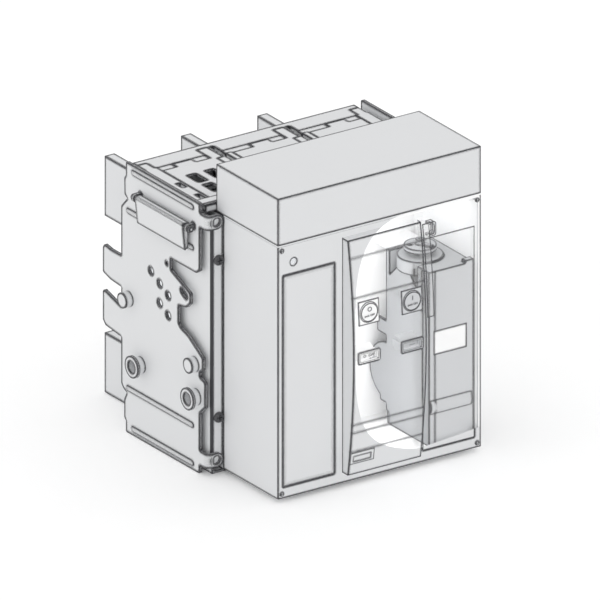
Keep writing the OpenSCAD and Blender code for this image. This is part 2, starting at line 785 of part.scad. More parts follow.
module side_grip() {
    z1 = rod_z0 + grip_rise;
    z0 = z1 - grip_h;
    fold_z = z1 - grip_fold;
    foot_x = -grip_x + grip_lean;
    back_x = -rod_x0 + grip_back;
    rod_y(-rod_x0, lug_places[0] - rod_end, rod_z0, rod_r,
        grip_l + 2 * (lug_t + lug_gap + rod_end));
    for (y = [lug_places[0] - washer_gap - washer_t, lug_places[1] + lug_t + washer_gap])
        rod_y(-rod_x0, y, rod_z0, rod_r + 1, washer_t);
    // The panel leans in towards its lower edge
    translate([0, grip_y1, 0]) rotate([90, 0, 0]) linear_extrude(grip_l)
        polygon([[-grip_x, fold_z], [-grip_x + grip_t, fold_z], [foot_x + grip_t, z0],
            [foot_x, z0]]);
    block(-grip_x + grip_fold, back_x, grip_y0, grip_y1, z1 - grip_t, z1);
    translate([-grip_x + grip_fold, grip_y0, fold_z]) rotate([-90, 180, 0])
        rotate_extrude(angle = 90) translate([grip_fold - grip_t, 0]) square([grip_t, grip_l]);
    for (y = [grip_y0, grip_y1 - grip_t])
        translate([0, y + grip_t, 0]) rotate([90, 0, 0]) linear_extrude(grip_t)
            polygon([[-grip_x + grip_inset, fold_z], [-grip_x + grip_fold, z1 - grip_inset],
                [back_x, z1 - grip_inset], [back_x, rod_z0 - grip_end_drop],
                [foot_x + grip_end_foot + grip_inset, z0 + 1], [foot_x + grip_inset, z0 + 1]]);
}

module side_grip_left() { color(grey) place() side_grip(); }
module side_grip_right() { color(grey) place() other_side() side_grip(); }

// Pole case, a deep moulding with chambers for the contacts and pockets for the chutes

chamber_w = 56;
chamber_y0 = 127;
chamber_y1 = 190;
chamber_z0 = 30;
chute_y0 = 120;
chute_z0 = base_top_z - chute_h;
shaft_y = 158;
shaft_z = 62;
shaft_r = 9;
recess_y = cover_d + 18;
ridge_w = pole_pitch - chute_w - 2 * seat;

// The outer chutes end at the case's own side
function chute_x0(p) = max(p * pole_pitch - chute_w / 2, -chute_edge_x);
function chute_x1(p) = min(p * pole_pitch + chute_w / 2, chute_edge_x);

module pole_case() {
    color(mid) place() difference() {
        union() {
            block(-case_x, case_x, cover_d, case_rear_y, case_z, case_top_z);
            for (s = [-0.5, 0.5]) block(s * pole_pitch - ridge_w / 2, s * pole_pitch + ridge_w / 2,
                chute_y0, case_rear_y, case_top_z - 1, base_top_z);
        }
        // Room for the tongues of the arc chutes
        for (p = [-1, 0]) block(p * pole_pitch + tongue_x - seat,
            p * pole_pitch + tongue_x + tongue_w + seat, chute_y1 - 4 - seat, case_rear_y + 1,
            base_top_z - tongue_h - seat, base_top_z + 1);
        // Slots between the poles
        for (s = [-0.5, 0.5]) block(s * pole_pitch + slot_x, s * pole_pitch + slot_x + slot_w,
            chute_y0 - 1, case_rear_y + 1, base_top_z - slot_h, base_top_z + 1);
        // Recess at the front for the mechanism and the gear motor
        block(-56, case_x - 3, cover_d - 1, recess_y, 12, 262);
        for (p = [-1, 0, 1]) {
            block(p * pole_pitch - chamber_w / 2, min(p * pole_pitch + chamber_w / 2,
                case_x - 3), chamber_y0, chamber_y1, chamber_z0, chute_z0 + 1);
            block(chute_x0(p) - 0.2, chute_x1(p) + 0.2, chute_y0 - 0.2, chute_y1 + 0.2, chute_z0,
                case_top_z + 1);
            for (z = [bar_upper_z, bar_lower_z]) {
                block(p * pole_pitch - window_w / 2 + 2, min(p * pole_pitch + window_w / 2 - 2,
                    case_x - 1), finger_front_y - 3, case_rear_y + 1, z - 16, z + 16);
                block(p * pole_pitch - bar_w / 2 - 0.1, p * pole_pitch + bar_w / 2 + 0.1,
                    chamber_y0 + 20, case_rear_y + 1, z - bar_t / 2 - 0.1, z + bar_t / 2 + 0.1);
            }
        }
        rod_x(-case_x + 4, shaft_y, shaft_z, shaft_r + pin_gap, 2 * case_x - 8);
    }
}

// Arc chutes, open below, with vents, side slots and splitter plates

vent_w = 12;
vent_l = 23;
vent_gap = 10;
vent_y = [chute_y0 + 18, chute_y0 + 47];
vent_shift = 1.3;
vent_corner_r = 2;
splitter_count = 7;
splitter_gap = 11;
splitter_t = 1.5;
splitter_rise = 8;
splitter_drop = 18;

module arc_chute(p) {
    x0 = chute_x0(p);
    x1 = chute_x1(p);
    xm = p * pole_pitch;
    top = base_top_z;
    difference() {
        union() {
            block(x0, x1, chute_y0, chute_y1, chute_z0, top);
            block(xm + chute_tab_x[0], xm + chute_tab_x[1], chute_y1 - 1,
                chute_y1 + chute_tab_reach, case_top_z + seat, top);
            if (p < 1) block(xm + tongue_x, xm + tongue_x + tongue_w, chute_y1 - 4, tongue_y,
                top - tongue_h, top);
        }
        block(x0 + chute_t, x1 - chute_t, chute_y0 + chute_t, chute_y1 - chute_t, chute_z0 - 1,
            top - chute_t);
        for (s = [-0.5, 0.5], y = vent_y) {
            vx = xm + vent_shift + s * (vent_w + vent_gap);
            translate([0, 0, top - chute_t - 1]) linear_extrude(chute_t + 2)
                round_rect(vx - vent_w / 2, vx + vent_w / 2, y, y + vent_l, vent_corner_r);
        }
    }
    // Splitter plates hang across the chute under the vents
    for (i = [0 : splitter_count - 1]) {
        y = chute_y0 + splitter_gap * (i + 1);
        block(x0 + chute_t, x1 - chute_t, y, y + splitter_t, chute_z0 + splitter_rise,
            top - chute_t - splitter_drop);
    }
}

module arc_chute_left() { color(grey) place() arc_chute(-1); }
module arc_chute_centre() { color(grey) place() arc_chute(0); }
module arc_chute_right() { color(grey) place() arc_chute(1); }

// Flat bars of the unit, which carry the fixed contacts and enter the jaws

module unit_bar(p, z, y0) {
    block(p * pole_pitch - bar_w / 2, p * pole_pitch + bar_w / 2, y0, case_rear_y + 6,
        z - bar_t / 2, z + bar_t / 2);
}

contact_y = 175.6;
contact_z0 = 166;

module upper_blades() {
    color(copper) place() for (p = [-1, 0, 1]) {
        unit_bar(p, bar_upper_z, contact_y + 6);
        block(p * pole_pitch - 18, p * pole_pitch + 18, contact_y, contact_y + 6 + eps,
            contact_z0, bar_upper_z + bar_t / 2);
    }
}

module lower_blades() {
    color(copper) place() for (p = [-1, 0, 1]) unit_bar(p, bar_lower_z, shaft_y);
}

// Runners on the sides of the case

runner_y0 = case_rear_y - 30;

module runner() {
    half = track_h / 2 - slide_gap;
    difference() {
        block(-inner_in_x + track_lip, -case_x, runner_y0, case_rear_y - 2, track_z - half,
            track_z + half);
        rod_x(-inner_in_x, (runner_y0 + case_rear_y - 2) / 2, track_z, 4, 3 + track_lip);
    }
}

module runner_left() { color(steel) place() runner(); }
module runner_right() { color(steel) place() other_side() runner(); }

// Front cover, a shell open at the back

fascia_x0 = -fascia_w / 2 - 1;
fascia_x1 = fascia_x0 + fascia_w;
fascia_z0 = cover_z + 11.4;
fascia_z1 = fascia_z0 + fascia_h;
left_panel_x = -119;
right_panel_x = 53.2;
panel_z = cover_z + 12;
panel_t = 1.8;
rebate = 3;
handle_x0 = fascia_x1 + 0.3;
handle_slot_x1 = handle_x0 + handle_w + 0.4;
screw_x = cover_x - 4.7;
screw_post_w = 6.6;
screw_head_r = 2.6;
screw_head_h = 1.2;
handle_slot_z = 142;
latch_hole_r = 3.8;
screw_edge = 5;
screw_z = [cover_z + screw_edge, cover_top_z - screw_edge - 1];
cover_screw_r = 1.6;

module panel_opening(x0) {
    block(x0 - 0.1, x0 + panel_w + 0.1, -1, panel_t, panel_z - 0.1, panel_z + panel_h + 0.1);
    block(x0 + rebate, x0 + panel_w - rebate, -1, cover_t + 1, panel_z + rebate,
        panel_z + panel_h - rebate);
}

module front_cover() {
    color(grey) place() {
        difference() {
            block(-cover_x, cover_x, 0, cover_d, cover_z, cover_top_z);
            block(-cover_x + cover_t, cover_x - cover_t, cover_t, cover_d + 1,
                cover_z + cover_t, cover_top_z - cover_t);
            block(fascia_x0 + rebate, fascia_x1 - rebate, -1, cover_t + 1, fascia_z0 + rebate,
                fascia_z1 - rebate);
            panel_opening(left_panel_x);
            panel_opening(right_panel_x);
            block(handle_x0 - 0.1, handle_slot_x1, -1, cover_t + 1, handle_slot_z, fascia_z1);
            rod_y(left_panel_x + 13.3, -1, cover_z + 259, latch_hole_r, cover_t + 2);
            for (s = [-1, 1], z = screw_z)
                rod_y(s * screw_x, -1, z, cover_screw_r + pin_gap, cover_d);
        }
        // Corner posts that take the cover screws
        for (s = [-1, 1], z = screw_z) difference() {
            translate([0, cover_t - eps, 0]) rotate([-90, 0, 0]) linear_extrude(cover_d - cover_t)
                translate([s * screw_x, -z]) square(screw_post_w, center = true);
            rod_y(s * screw_x, -1, z, cover_screw_r + pin_gap, cover_d + 2);
        }
    }
}

module front_panel(x0) {
    block(x0, x0 + panel_w, 0, panel_t, panel_z, panel_z + panel_h);
    block(x0 + rebate + 0.2, x0 + panel_w - rebate - 0.2, panel_t - eps, panel_t + 0.8,
        panel_z + rebate + 0.2, panel_z + panel_h - rebate - 0.2);
}

module blanking_panel() { color(grey) place() front_panel(left_panel_x); }
module clear_panel() { color(clear) place() front_panel(right_panel_x); }

module cover_screws() {
    color(dark) place() for (s = [-1, 1], z = screw_z) difference() {
        union() {
            translate([s * screw_x, 0, z]) rotate([90, 0, 0])
                rotate_extrude() pan_profile(screw_head_r, screw_head_h);
            rod_y(s * screw_x, -eps, z, cover_screw_r, cover_d - 2);
        }
        // Straight slot in the head
        block(s * screw_x - screw_head_r - 1, s * screw_x + screw_head_r + 1,
            -screw_head_h - 1, -screw_head_h / 2, z - 0.3, z + 0.3);
    }
}

// Fascia, a shell with a gently arched front

fascia_mid_z = (fascia_z0 + fascia_z1) / 2;
arch_rise = fascia_mid - fascia_end;
arch_r = (pow(fascia_h / 2, 2) + pow(arch_rise, 2)) / (2 * arch_rise);
function arch_y(z) = -fascia_mid + arch_r - sqrt(pow(arch_r, 2) - pow(z - fascia_mid_z, 2));

module arch(inset) {
    translate([0, -fascia_mid + arch_r, fascia_mid_z]) rotate([0, 90, 0])
        cylinder(r = arch_r - inset, h = 4 * fascia_w, center = true, $fn = 360);
}

fascia_lines = [cover_z + 37.8, cover_z + 59.5, cover_z + 68.8, cover_z + 209, cover_z + 251.4];
line_w = 0.9;
line_depth = 0.7;
button_z = cover_z + 191.8;
off_x = -27;
on_x = 26;
bezel_w = 25.4;
window_z0 = cover_z + 137;
window_z1 = cover_z + 148.5;
plate_z0 = cover_z + 24;
plate_z1 = cover_z + 37.4;

module fascia() {
    color(clear) place() difference() {
        intersection() {
            block(fascia_x0, fascia_x1, -fascia_mid - 1, 0, fascia_z0, fascia_z1);
            arch(0);
        }
        intersection() {
            block(fascia_x0 + fascia_t, fascia_x1 - fascia_t, -fascia_mid - 1, 1,
                fascia_z0 + fascia_t, fascia_z1 - fascia_t);
            arch(fascia_t);
        }
        // Grooves across the front
        for (z = fascia_lines) difference() {
            block(fascia_x0 - 1, fascia_x1 + 1, -fascia_mid - 1, 0, z, z + line_w);
            arch(line_depth);
        }
        for (x = [off_x, on_x])
            rod_y(x, -fascia_mid - 1, button_z, button_r + button_gap, fascia_mid);
        for (x = [off_x, on_x])
            block(x - bezel_w / 2, x + bezel_w / 2, -fascia_mid - 1, -fascia_mid + 8,
                window_z0, window_z1);
    }
}

bezel_h = 26;
bezel_rise = 1.2;
button_gap = 0.35;
lens_edge = 1.6;
lens_proud = 0.8;
lens_fit = 0.1;
spindle_r = 1.5;
spindle_cheek_t = 1.4;
spindle_cheek_h = 8;

// Raised frames round the two buttons and a lens frame round each flag window
module button_bezels() {
    face = arch_y(button_z);
    lens = arch_y(window_z0);
    color(grey) place() for (x = [off_x, on_x]) {
        difference() {
            intersection() {
                block(x - bezel_w / 2, x + bezel_w / 2, face - 2 * bezel_rise, face + 3,
                    button_z - bezel_h / 2, button_z + bezel_h / 2);
                translate([0, -bezel_rise, 0]) arch(0);
            }
            arch(-eps);
            rod_y(x, -fascia_mid - 4, button_z, button_r + button_gap, fascia_mid);
        }
        difference() {
            block(x - bezel_w / 2 + lens_fit, x + bezel_w / 2 - lens_fit, lens - lens_proud,
                lens + fascia_t + 0.6, window_z0 + lens_fit, window_z1 - lens_fit);
            block(x - bezel_w / 2 + lens_edge, x + bezel_w / 2 - lens_edge, lens - 2,
                lens + fascia_t + 2, window_z0 + lens_edge, window_z1 - lens_edge);
        }
        // Cheeks and a spindle carry the flag behind the window
        for (s = [0, 1]) translate([x, 0, 0]) mirror([s, 0, 0])
            block(flag_half + seat, flag_half + seat + spindle_cheek_t, lens + fascia_t,
                flag_y + 2 * spindle_r, flag_z - spindle_cheek_h / 2,
                flag_z + spindle_cheek_h / 2);
        rod_x(x - flag_half - 1, flag_y, flag_z, spindle_r, 2 * flag_half + 2);
    }
}

plate_l = 29.8;
plate_edge_x = 4;
plate_edge_low = 2.6;
plate_edge_top = 4.4;
plate_rise = 0.9;
plate_field = 0.4;

module name_plate() {
    x0 = fascia_x0 + 0.2;
    x1 = x0 + plate_l;
    color(mid) place() difference() {
        intersection() {
            block(x0, x1, -fascia_mid, 0, plate_z0, plate_z1);
            translate([0, -plate_rise, 0]) arch(0);
        }
        arch(-eps);
        // The field inside the border lies a little lower
        difference() {
            block(x0 + plate_edge_x, x1 - plate_edge_x, -fascia_mid, 0, plate_z0 + plate_edge_low,
                plate_z1 - plate_edge_top);
            translate([0, plate_field - plate_rise, 0]) arch(0);
        }
    }
}

// Buttons, each a cap with a stem that runs in the handle bracket's cross bar

button_proud = 2.2;
button_cap_h = 9;
stem_end_y = 23;

module push_button(x) {
    face = arch_y(button_z) - button_proud;
    rod_y(x, face, button_z, button_r, button_cap_h);
    rod_y(x, face + button_cap_h - eps, button_z, stem_r, -face + stem_end_y - button_cap_h);
}

module on_button() { color(grey) place() push_button(on_x); }
module off_button() { color(mid) place() push_button(off_x); }

// Handle bracket: a cross bar behind the cover that guides the button stems and
// carries the handle pin and the flag spindles

bar_y = cover_t + seat;
bar_d = 5;
guide_half = 5.5;
stem_r = 3;
cheek_t = 2.6;
cheek_d = 16;
bridge_h = 6;
bridge_rise = 14;
cheek_drop = 9;
handle_y = 10;
handle_z = 182;
flag_r = 8;
flag_half = bezel_w / 2 - 2;
flag_y = -6.6;
flag_back = 3;
flag_z = (window_z0 + window_z1) / 2;

module handle_bracket() {
    x0 = handle_x0 - cheek_t - seat;
    slot_x0 = handle_x0 - seat;
    x1 = handle_slot_x1 + cheek_t;
    bridge_z = button_z + bridge_rise;
    cheek_z0 = handle_z - cheek_drop;
    cheek_z1 = bridge_z + bridge_h;
    color(steel) place() difference() {
        union() {
            block(fascia_x0 - 6, x0 + eps, bar_y, bar_y + bar_d, button_z - guide_half,
                button_z + guide_half);
            block(x0, x1, bar_y, bar_y + bar_d, bridge_z, cheek_z1);
            block(x0, slot_x0, bar_y, bar_y + cheek_d, cheek_z0, cheek_z1);
            block(handle_slot_x1, x1, bar_y, bar_y + cheek_d, cheek_z0, cheek_z1);
            rod_x(x0, handle_y, handle_z, handle_pin_r, x1 - x0);
        }
        for (x = [off_x, on_x])
            rod_y(x, 0, button_z, stem_r + pin_gap, bar_y + bar_d + 1);
    }
}

// Charging handle, which follows the arch of the fascia a little proud of it

handle_top_z = cover_z + 269;
handle_low_z = cover_z + 169;
handle_proud = 1.4;
handle_depth = 10;
handle_eye_wall = 3.6;
handle_arm_y = -16;
handle_side_gap = 0.2;
loop_w = 9;
loop_h = 16;
loop_t = 2.6;
loop_d = 7;

module charging_handle() {
    eye_r = handle_pin_r + handle_eye_wall;
    hx = handle_x0 + handle_side_gap;
    hw = handle_w - handle_side_gap;
    color(mid) place() difference() {
        union() {
            difference() {
                intersection() {
                    block(hx, hx + hw, -fascia_mid - 4, 2, handle_low_z, handle_top_z);
                    translate([0, -handle_proud, 0]) arch(0);
                }
                translate([0, -handle_proud, 0]) arch(handle_depth);
            }
            rod_x(hx, handle_y, handle_z, eye_r, hw);
            block(hx, hx + hw, handle_arm_y, handle_y, handle_z - eye_r, handle_z + eye_r);
            // The grip loop reaches to the right at the top
            translate([hx + hw - eps, arch_y(handle_top_z - loop_w), handle_top_z - loop_h])
                rotate([-90, 0, 0]) translate([0, -loop_h, 0]) linear_extrude(loop_d)
                    difference() {
                        round_rect(-3, loop_w, 0, loop_h, 3);
                        round_rect(-1, loop_w - loop_t, loop_t, loop_h - loop_t, 2);
                    }
        }
        rod_x(hx - 1, handle_y, handle_z, handle_pin_r + pin_gap, hw + 2);
    }
}

// Flags, drums that turn behind the windows

module flag(x) {
    half = flag_half;
    difference() {
        rod_x(x - half, flag_y, flag_z, flag_r, 2 * half);
        rod_x(x - half - 1, flag_y, flag_z, spindle_r + pin_gap, 2 * half + 2);
        block(x - half - 1, x + half + 1, flag_y + flag_back, flag_y + flag_r + 1, flag_z - flag_r - 1,
            flag_z + flag_r + 1);
    }
}

module position_flag() { color([0.93, 0.93, 0.93]) place() flag(off_x); }
module charge_flag() { color([0.93, 0.93, 0.93]) place() flag(on_x); }

// Gear motor, behind the clear panel

motor_x = 65.4;
motor_y = 6.5;
motor_z = cover_z + 10.8;
can_room = 3.5;
can_y = recess_y - can_r - can_room;
can_z = motor_z + 57;
wheel_x = motor_x + 18.4;
wheel_y = motor_y + 43;
motor_top_z = motor_z + motor_h;
motor_back_y = motor_y + motor_d - 1;
wheel_rise = 5.5;
drum_r = 24;
drum_rise = 2.3;
drum_top_z = motor_top_z + drum_rise;
wheel_z = drum_top_z + wheel_rise;
pocket_d = 13;
pocket_dip = 14;
pocket_z = motor_top_z - pocket_d;
pocket_y0 = motor_y + 21;
pocket_y1 = motor_y + 72;
tab_w = 10;
tab_d = 7;
tab_h = 3;
motor_wall = 3;
can_wall = 1.2;
can_end_gap = 6;
can_boss_h = 3;
can_boss_drop = 8;
boss_r = 11.6;
boss_z = 43;
shaft_hole_r = 4.05;
shaft_hole_d = 30;
shaft_end_gap = 2;
groove_x = 7;
groove_w = 0.8;
boss_y = motor_y + 9;

// Side contour of the housing in Y and Z
module motor_outline() {
    back = motor_y + motor_d;
    offset(r = 1.5, $fn = 24) offset(delta = -1.5) difference() {
        union() {
            translate([motor_y, motor_z]) square([motor_d, motor_h]);
            translate([can_y, can_z]) circle(can_r + can_wall);
            // Upper and lower lugs on the back edge
            translate([motor_back_y, motor_z + 97]) square([17, 16]);
            translate([motor_back_y, motor_z + 22]) square([12, 12]);
        }
        translate([back - 5, motor_z - 1]) square([6, 15]);
    }
}

// Pocket in the left side, in Y and Z, in which the round gear case stands
module pocket_outline() {
    polygon([[pocket_y0, motor_top_z + 1], [pocket_y0, pocket_z - pocket_dip],
        [pocket_y0 + pocket_dip, pocket_z], [pocket_y1 - pocket_dip, pocket_z],
        [pocket_y1, pocket_z - pocket_dip], [pocket_y1, motor_top_z + 1]]);
}

module motor_housing() {
    x0 = motor_x + 1;
    x1 = motor_x + motor_w;
    color(mid) place() difference() {
        union() {
            difference() {
                union() {
                    slab_x(motor_x, motor_wall) motor_outline();
                    block(x0, x1, motor_y, motor_back_y, motor_z, motor_top_z);
                    rod_x(x0, boss_y, motor_z + boss_z, boss_r, motor_w - 4);
                    // Tab at the front right corner of the top
                    block(x1 - tab_w, x1, motor_y, motor_y + tab_d, motor_top_z - 1,
                        motor_top_z + tab_h);
                }
                slab_x(motor_x - 1, wheel_x - motor_x + 1) pocket_outline();
            }
            rod_z(wheel_x, wheel_y, pocket_z - eps, drum_r, drum_top_z - pocket_z + eps);
        }
        rod_x(motor_x + motor_wall, can_y, can_z, can_r + 0.2, motor_w + 1);
        rod_z(wheel_x, wheel_y, motor_top_z - shaft_hole_d, shaft_hole_r, shaft_hole_d + 10);
        // Parting groove of the housing
        block(motor_x + groove_x, motor_x + groove_x + groove_w, motor_y - 1,
            motor_y + groove_w, motor_z - 1, motor_top_z + 1);
    }
}

module motor_can() {
    can_l = motor_w - motor_wall - can_end_gap;
    color(steel) place() {
        rod_x(motor_x + motor_wall, can_y, can_z, can_r, can_l);
        rod_x(motor_x + motor_wall + can_l - eps, can_y, can_z, can_r - can_boss_drop,
            can_boss_h);
    }
}

bracket_steel_t = 2.5;
bracket_side_gap = 6;
bracket_low_z = 118;
bracket_foot_z = 160;
bracket_top_z = 190.5;

// Angle bracket between the gear motor and the pole case
module motor_bracket() {
    x0 = motor_x + bracket_side_gap;
    x1 = motor_x + motor_w - bracket_side_gap;
    top = motor_z + bracket_top_z;
    color(steel) place() {
        block(x0, x1, motor_back_y, motor_back_y + bracket_steel_t, motor_z + bracket_low_z, top);
        block(x0, x1, motor_back_y, recess_y, top - bracket_steel_t, top);
        block(x0, x1, recess_y - bracket_steel_t, recess_y, motor_z + bracket_foot_z, top);
    }
}

hub_r = 5;
hub_h = 6;
hub_bore_r = 2;
hub_bore_d = 3;
wheel_collar_r = 8;
wheel_collar_gap = 0.3;
wheel_hole_r = 2.4;
wheel_hole_in = 6;
pawl_w = 6;
pawl_t = 2;
pawl_turn = -70;

// Drive wheel with hub, pawl bar and the shaft that goes down into the housing
module drive_wheel() {
    top = wheel_z + wheel_t;
    shaft_z0 = motor_top_z - shaft_hole_d + shaft_end_gap;
    collar_z = drum_top_z + wheel_collar_gap;
    color(mid) place() difference() {
        union() {
            rod_z(wheel_x, wheel_y, wheel_z, wheel_r, wheel_t);
            rod_z(wheel_x, wheel_y, top - eps, hub_r, hub_h);
            rod_z(wheel_x, wheel_y, shaft_z0, shaft_hole_r - pin_gap, wheel_z + 1 - shaft_z0);
            rod_z(wheel_x, wheel_y, collar_z, wheel_collar_r, wheel_z - collar_z + eps);
            translate([wheel_x, wheel_y, top - eps]) rotate([0, 0, pawl_turn])
                block(-pawl_w / 2, wheel_r - 2, -pawl_w / 2, pawl_w / 2, 0, pawl_t);
        }
        rod_z(wheel_x, wheel_y, top + hub_h - hub_bore_d, hub_bore_r, hub_h);
        for (a = [40, 160, 280]) translate([wheel_x, wheel_y, 0]) rotate([0, 0, a])
            rod_z(wheel_r - wheel_hole_in, 0, wheel_z - 1, wheel_hole_r, wheel_t + 2);
    }
}

// Mechanism frame: two profiled plates and spacers on the case

mech_x0 = -50;
mech_x1 = -6;
mech_t = 2;
mech_y = 46;
mech_z0 = 70;
mech_z1 = 236;
main_y = 78;
main_z = 118;
main_r = 5;

module mechanism_outline() {
    difference() {
        union() {
            translate([mech_y + 14, mech_z0]) square([recess_y - mech_y - 14, mech_z1 - mech_z0]);
            round_rect(mech_y, recess_y, mech_z0 + 22, mech_z1 - 30, 8);
        }
        translate([mech_y + 34, mech_z0 + 98]) circle(14);
        translate([mech_y + 52, mech_z0 + 22]) circle(7);
    }
}

module mechanism_frame() {
    color(steel) place() {
        for (x = [mech_x0, mech_x1 - mech_t]) difference() {
            slab_x(x, mech_t) mechanism_outline();
            rod_x(x - 1, main_y, main_z, main_r + 0.05, mech_t + 2);
        }
        for (p = [[mech_y + 8, mech_z0 + 28], [mech_y + 24, mech_z1 - 40]])
            rod_x(mech_x0 + mech_t - eps, p[0], p[1], 3, mech_x1 - mech_x0 - 2 * mech_t + 2 * eps);
        block(mech_x0 + mech_t - eps, mech_x1 - mech_t + eps, recess_y - 2, recess_y,
            mech_z0 + 60, mech_z0 + 110);
    }
}

// Closing spring, a stack of turns round a guide rod
spring_turns = 11;
spring_pitch = 5.6;
spring_wire_r = 1.9;
spring_r = 8;
spring_x = 8;
spring_y = main_y + 12;
spring_z0 = mech_z0 + 24;
spring_z1 = spring_z0 + spring_turns * spring_pitch;
seat_half = 11;
seat_t = 6;
rod_core_r = 5.8;

module closing_spring() {
    color(dark) place() {
        for (i = [0 : spring_turns - 1])
            translate([spring_x, spring_y, spring_z0 + i * spring_pitch])
                rotate_extrude() translate([spring_r, 0]) circle(spring_wire_r, $fn = 24);
        rod_z(spring_x, spring_y, mech_z0 + 12, rod_core_r, spring_z1 - mech_z0 - 6);
        for (z = [[mech_z0 + 10, seat_t], [spring_z1, seat_t - 2]])
            block(spring_x - seat_half, spring_x + seat_half, main_y + 1, recess_y, z[0],
                z[0] + z[1]);
    }
}

// Main shaft with its ratchet wheel and cam
teeth = 24;
ratchet_r = 22;
tooth_h = 2.6;
ratchet_t = 5;
ratchet_x = -22;
boss_x = -32;
boss_t = 6;
cam_x = -41;
cam_t = 6;
cam_r = 11;
cam_nose_r = 9;
cam_throw = 7;
shaft_over = 3;

module main_shaft() {
    color(steel) place() translate([0, main_y, main_z]) {
        rotate([0, 90, 0]) {
            translate([0, 0, mech_x0 - shaft_over])
                cylinder(r = main_r, h = mech_x1 - mech_x0 + 2 * shaft_over);
            translate([0, 0, boss_x]) cylinder(r = ratchet_r - boss_t, h = boss_t);
        }
        rotate([90, 0, 90]) translate([0, 0, ratchet_x]) linear_extrude(ratchet_t) polygon([
            for (i = [0 : teeth - 1], k = [0, 1])
                let (a = (i + 0.8 * k) * 360 / teeth, r = k == 0 ? ratchet_r - tooth_h : ratchet_r)
                    [r * cos(a), r * sin(a)]]);
        rotate([90, 0, 90]) translate([0, 0, cam_x]) linear_extrude(cam_t) {
            circle(cam_r);
            translate([cam_throw, 0]) circle(cam_nose_r);
        }
    }
}

// Pole shaft across the case and the contact arms on it

arm_w = 24;
arm_t = 12;
arm_tip_r = 8;
arm_eye_wall = 4;
arm_fit = 0.02;

module pole_shaft() {
    color(steel) place() {
        rod_x(-case_x + 5, shaft_y, shaft_z, shaft_r, 2 * case_x - 10);
    }
}

// Each arm stands on the shaft and leans forward while the contacts are open
module contact_arms() {
    color(copper) place() for (p = [-1, 0, 1]) translate([p * pole_pitch - arm_w / 2, shaft_y,
        shaft_z]) rotate([-arm_lean, 0, 0]) rotate([90, 0, 90]) linear_extrude(arm_w)
            difference() {
                union() {
                    circle(shaft_r + arm_eye_wall);
                    translate([-arm_t / 2, 0]) square([arm_t, arm_l]);
                    translate([0, arm_l - arm_tip_r]) circle(arm_tip_r);
                }
                circle(shaft_r + arm_fit);
            }
}

arm_lean = -12;
arm_l = 112;

side_plate_left();
side_plate_right();
inner_plate_left();
inner_plate_right();
guide_pins_left();
guide_pins_right();
guide_track_left();
guide_track_right();
chassis_floor();
rear_base();
top_strip_left();
top_strip_right();
upper_connector_left();
upper_connector_centre();
upper_connector_right();
lower_connector_left();
lower_connector_centre();
lower_connector_right();
upper_jaws();
lower_jaws();
connector_bolts();
shield_bracket();
terminal_shield();
terminal_block();
flange_screws_left();
flange_screws_right();
side_grip_left();
side_grip_right();
pole_case();
arc_chute_left();
arc_chute_centre();
arc_chute_right();
upper_blades();
lower_blades();
runner_left();
runner_right();
front_cover();
blanking_panel();
clear_panel();
fascia();
cover_screws();
name_plate();
button_bezels();
motor_housing();
motor_can();
motor_bracket();
mechanism_frame();
closing_spring();
handle_bracket();
pole_shaft();
contact_arms();
on_button();
off_button();
charging_handle();
drive_wheel();
position_flag();
charge_flag();
main_shaft();
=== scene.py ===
import json
import math
import bpy
import bmesh
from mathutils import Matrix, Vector


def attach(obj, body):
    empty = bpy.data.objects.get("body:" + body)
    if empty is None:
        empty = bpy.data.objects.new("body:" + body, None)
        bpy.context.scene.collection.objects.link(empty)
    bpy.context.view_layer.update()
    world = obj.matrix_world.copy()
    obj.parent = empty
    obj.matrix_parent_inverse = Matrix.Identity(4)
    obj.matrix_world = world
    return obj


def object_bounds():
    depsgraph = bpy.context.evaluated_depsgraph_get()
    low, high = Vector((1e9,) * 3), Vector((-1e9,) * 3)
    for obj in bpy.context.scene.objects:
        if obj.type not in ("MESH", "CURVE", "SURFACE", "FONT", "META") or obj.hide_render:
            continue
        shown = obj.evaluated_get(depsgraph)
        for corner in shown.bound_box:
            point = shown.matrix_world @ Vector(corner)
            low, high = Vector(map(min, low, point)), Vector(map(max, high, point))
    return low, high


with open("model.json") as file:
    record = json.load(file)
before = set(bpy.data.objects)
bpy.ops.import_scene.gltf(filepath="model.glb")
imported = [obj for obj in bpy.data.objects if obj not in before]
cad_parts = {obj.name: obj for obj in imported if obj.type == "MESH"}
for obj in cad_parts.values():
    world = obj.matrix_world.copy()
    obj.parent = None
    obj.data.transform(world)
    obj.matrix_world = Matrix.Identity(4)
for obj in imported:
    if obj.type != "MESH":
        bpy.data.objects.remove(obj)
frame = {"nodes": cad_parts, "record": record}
cad_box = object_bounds()

# Sizes, in metres. Depths are measured back from the face of the front cover.
MM = 0.001
FRONT_Y = -0.165

# Past this cosine an edge runs along an axis, or a face looks along it
FACING = 0.9


def at(x, depth, z):
    """A point given in millimetres: across, back from the cover face, and up from the chassis."""
    return Vector((x * MM, depth * MM + FRONT_Y, z * MM))


# Camera of the drawing
CAMERA_TURN = math.radians(-34.1)
CAMERA_RISE = math.radians(22.87)
CAMERA_SPAN = 0.6122
CAMERA_AWAY = 2.4
CAMERA_AIM = Vector((0.0, -0.0205, 0.146))
CAMERA_SEES_TO = 20.0

# Colours of the drawing, as linear values
PALE_GREY = (0.716, 0.723, 0.733, 1.0)
FRAME_GREY = (0.722, 0.729, 0.738, 1.0)
MOTOR_GREY = (0.610, 0.620, 0.635, 1.0)
# The gear motor's sides and top, painted darker than its front: a painted shade
MOTOR_SIDE_SHADE = (0.458, 0.466, 0.477, 1.0)
PAPER_WHITE = (0.970, 0.970, 0.970, 1.0)
FULL_WHITE = (1.0, 1.0, 1.0, 1.0)
LINE_DARK = (0.045, 0.045, 0.050, 1.0)
MARK_GREY = (0.14, 0.14, 0.15, 1.0)
SCREW_BLACK = (0.030, 0.030, 0.033, 1.0)

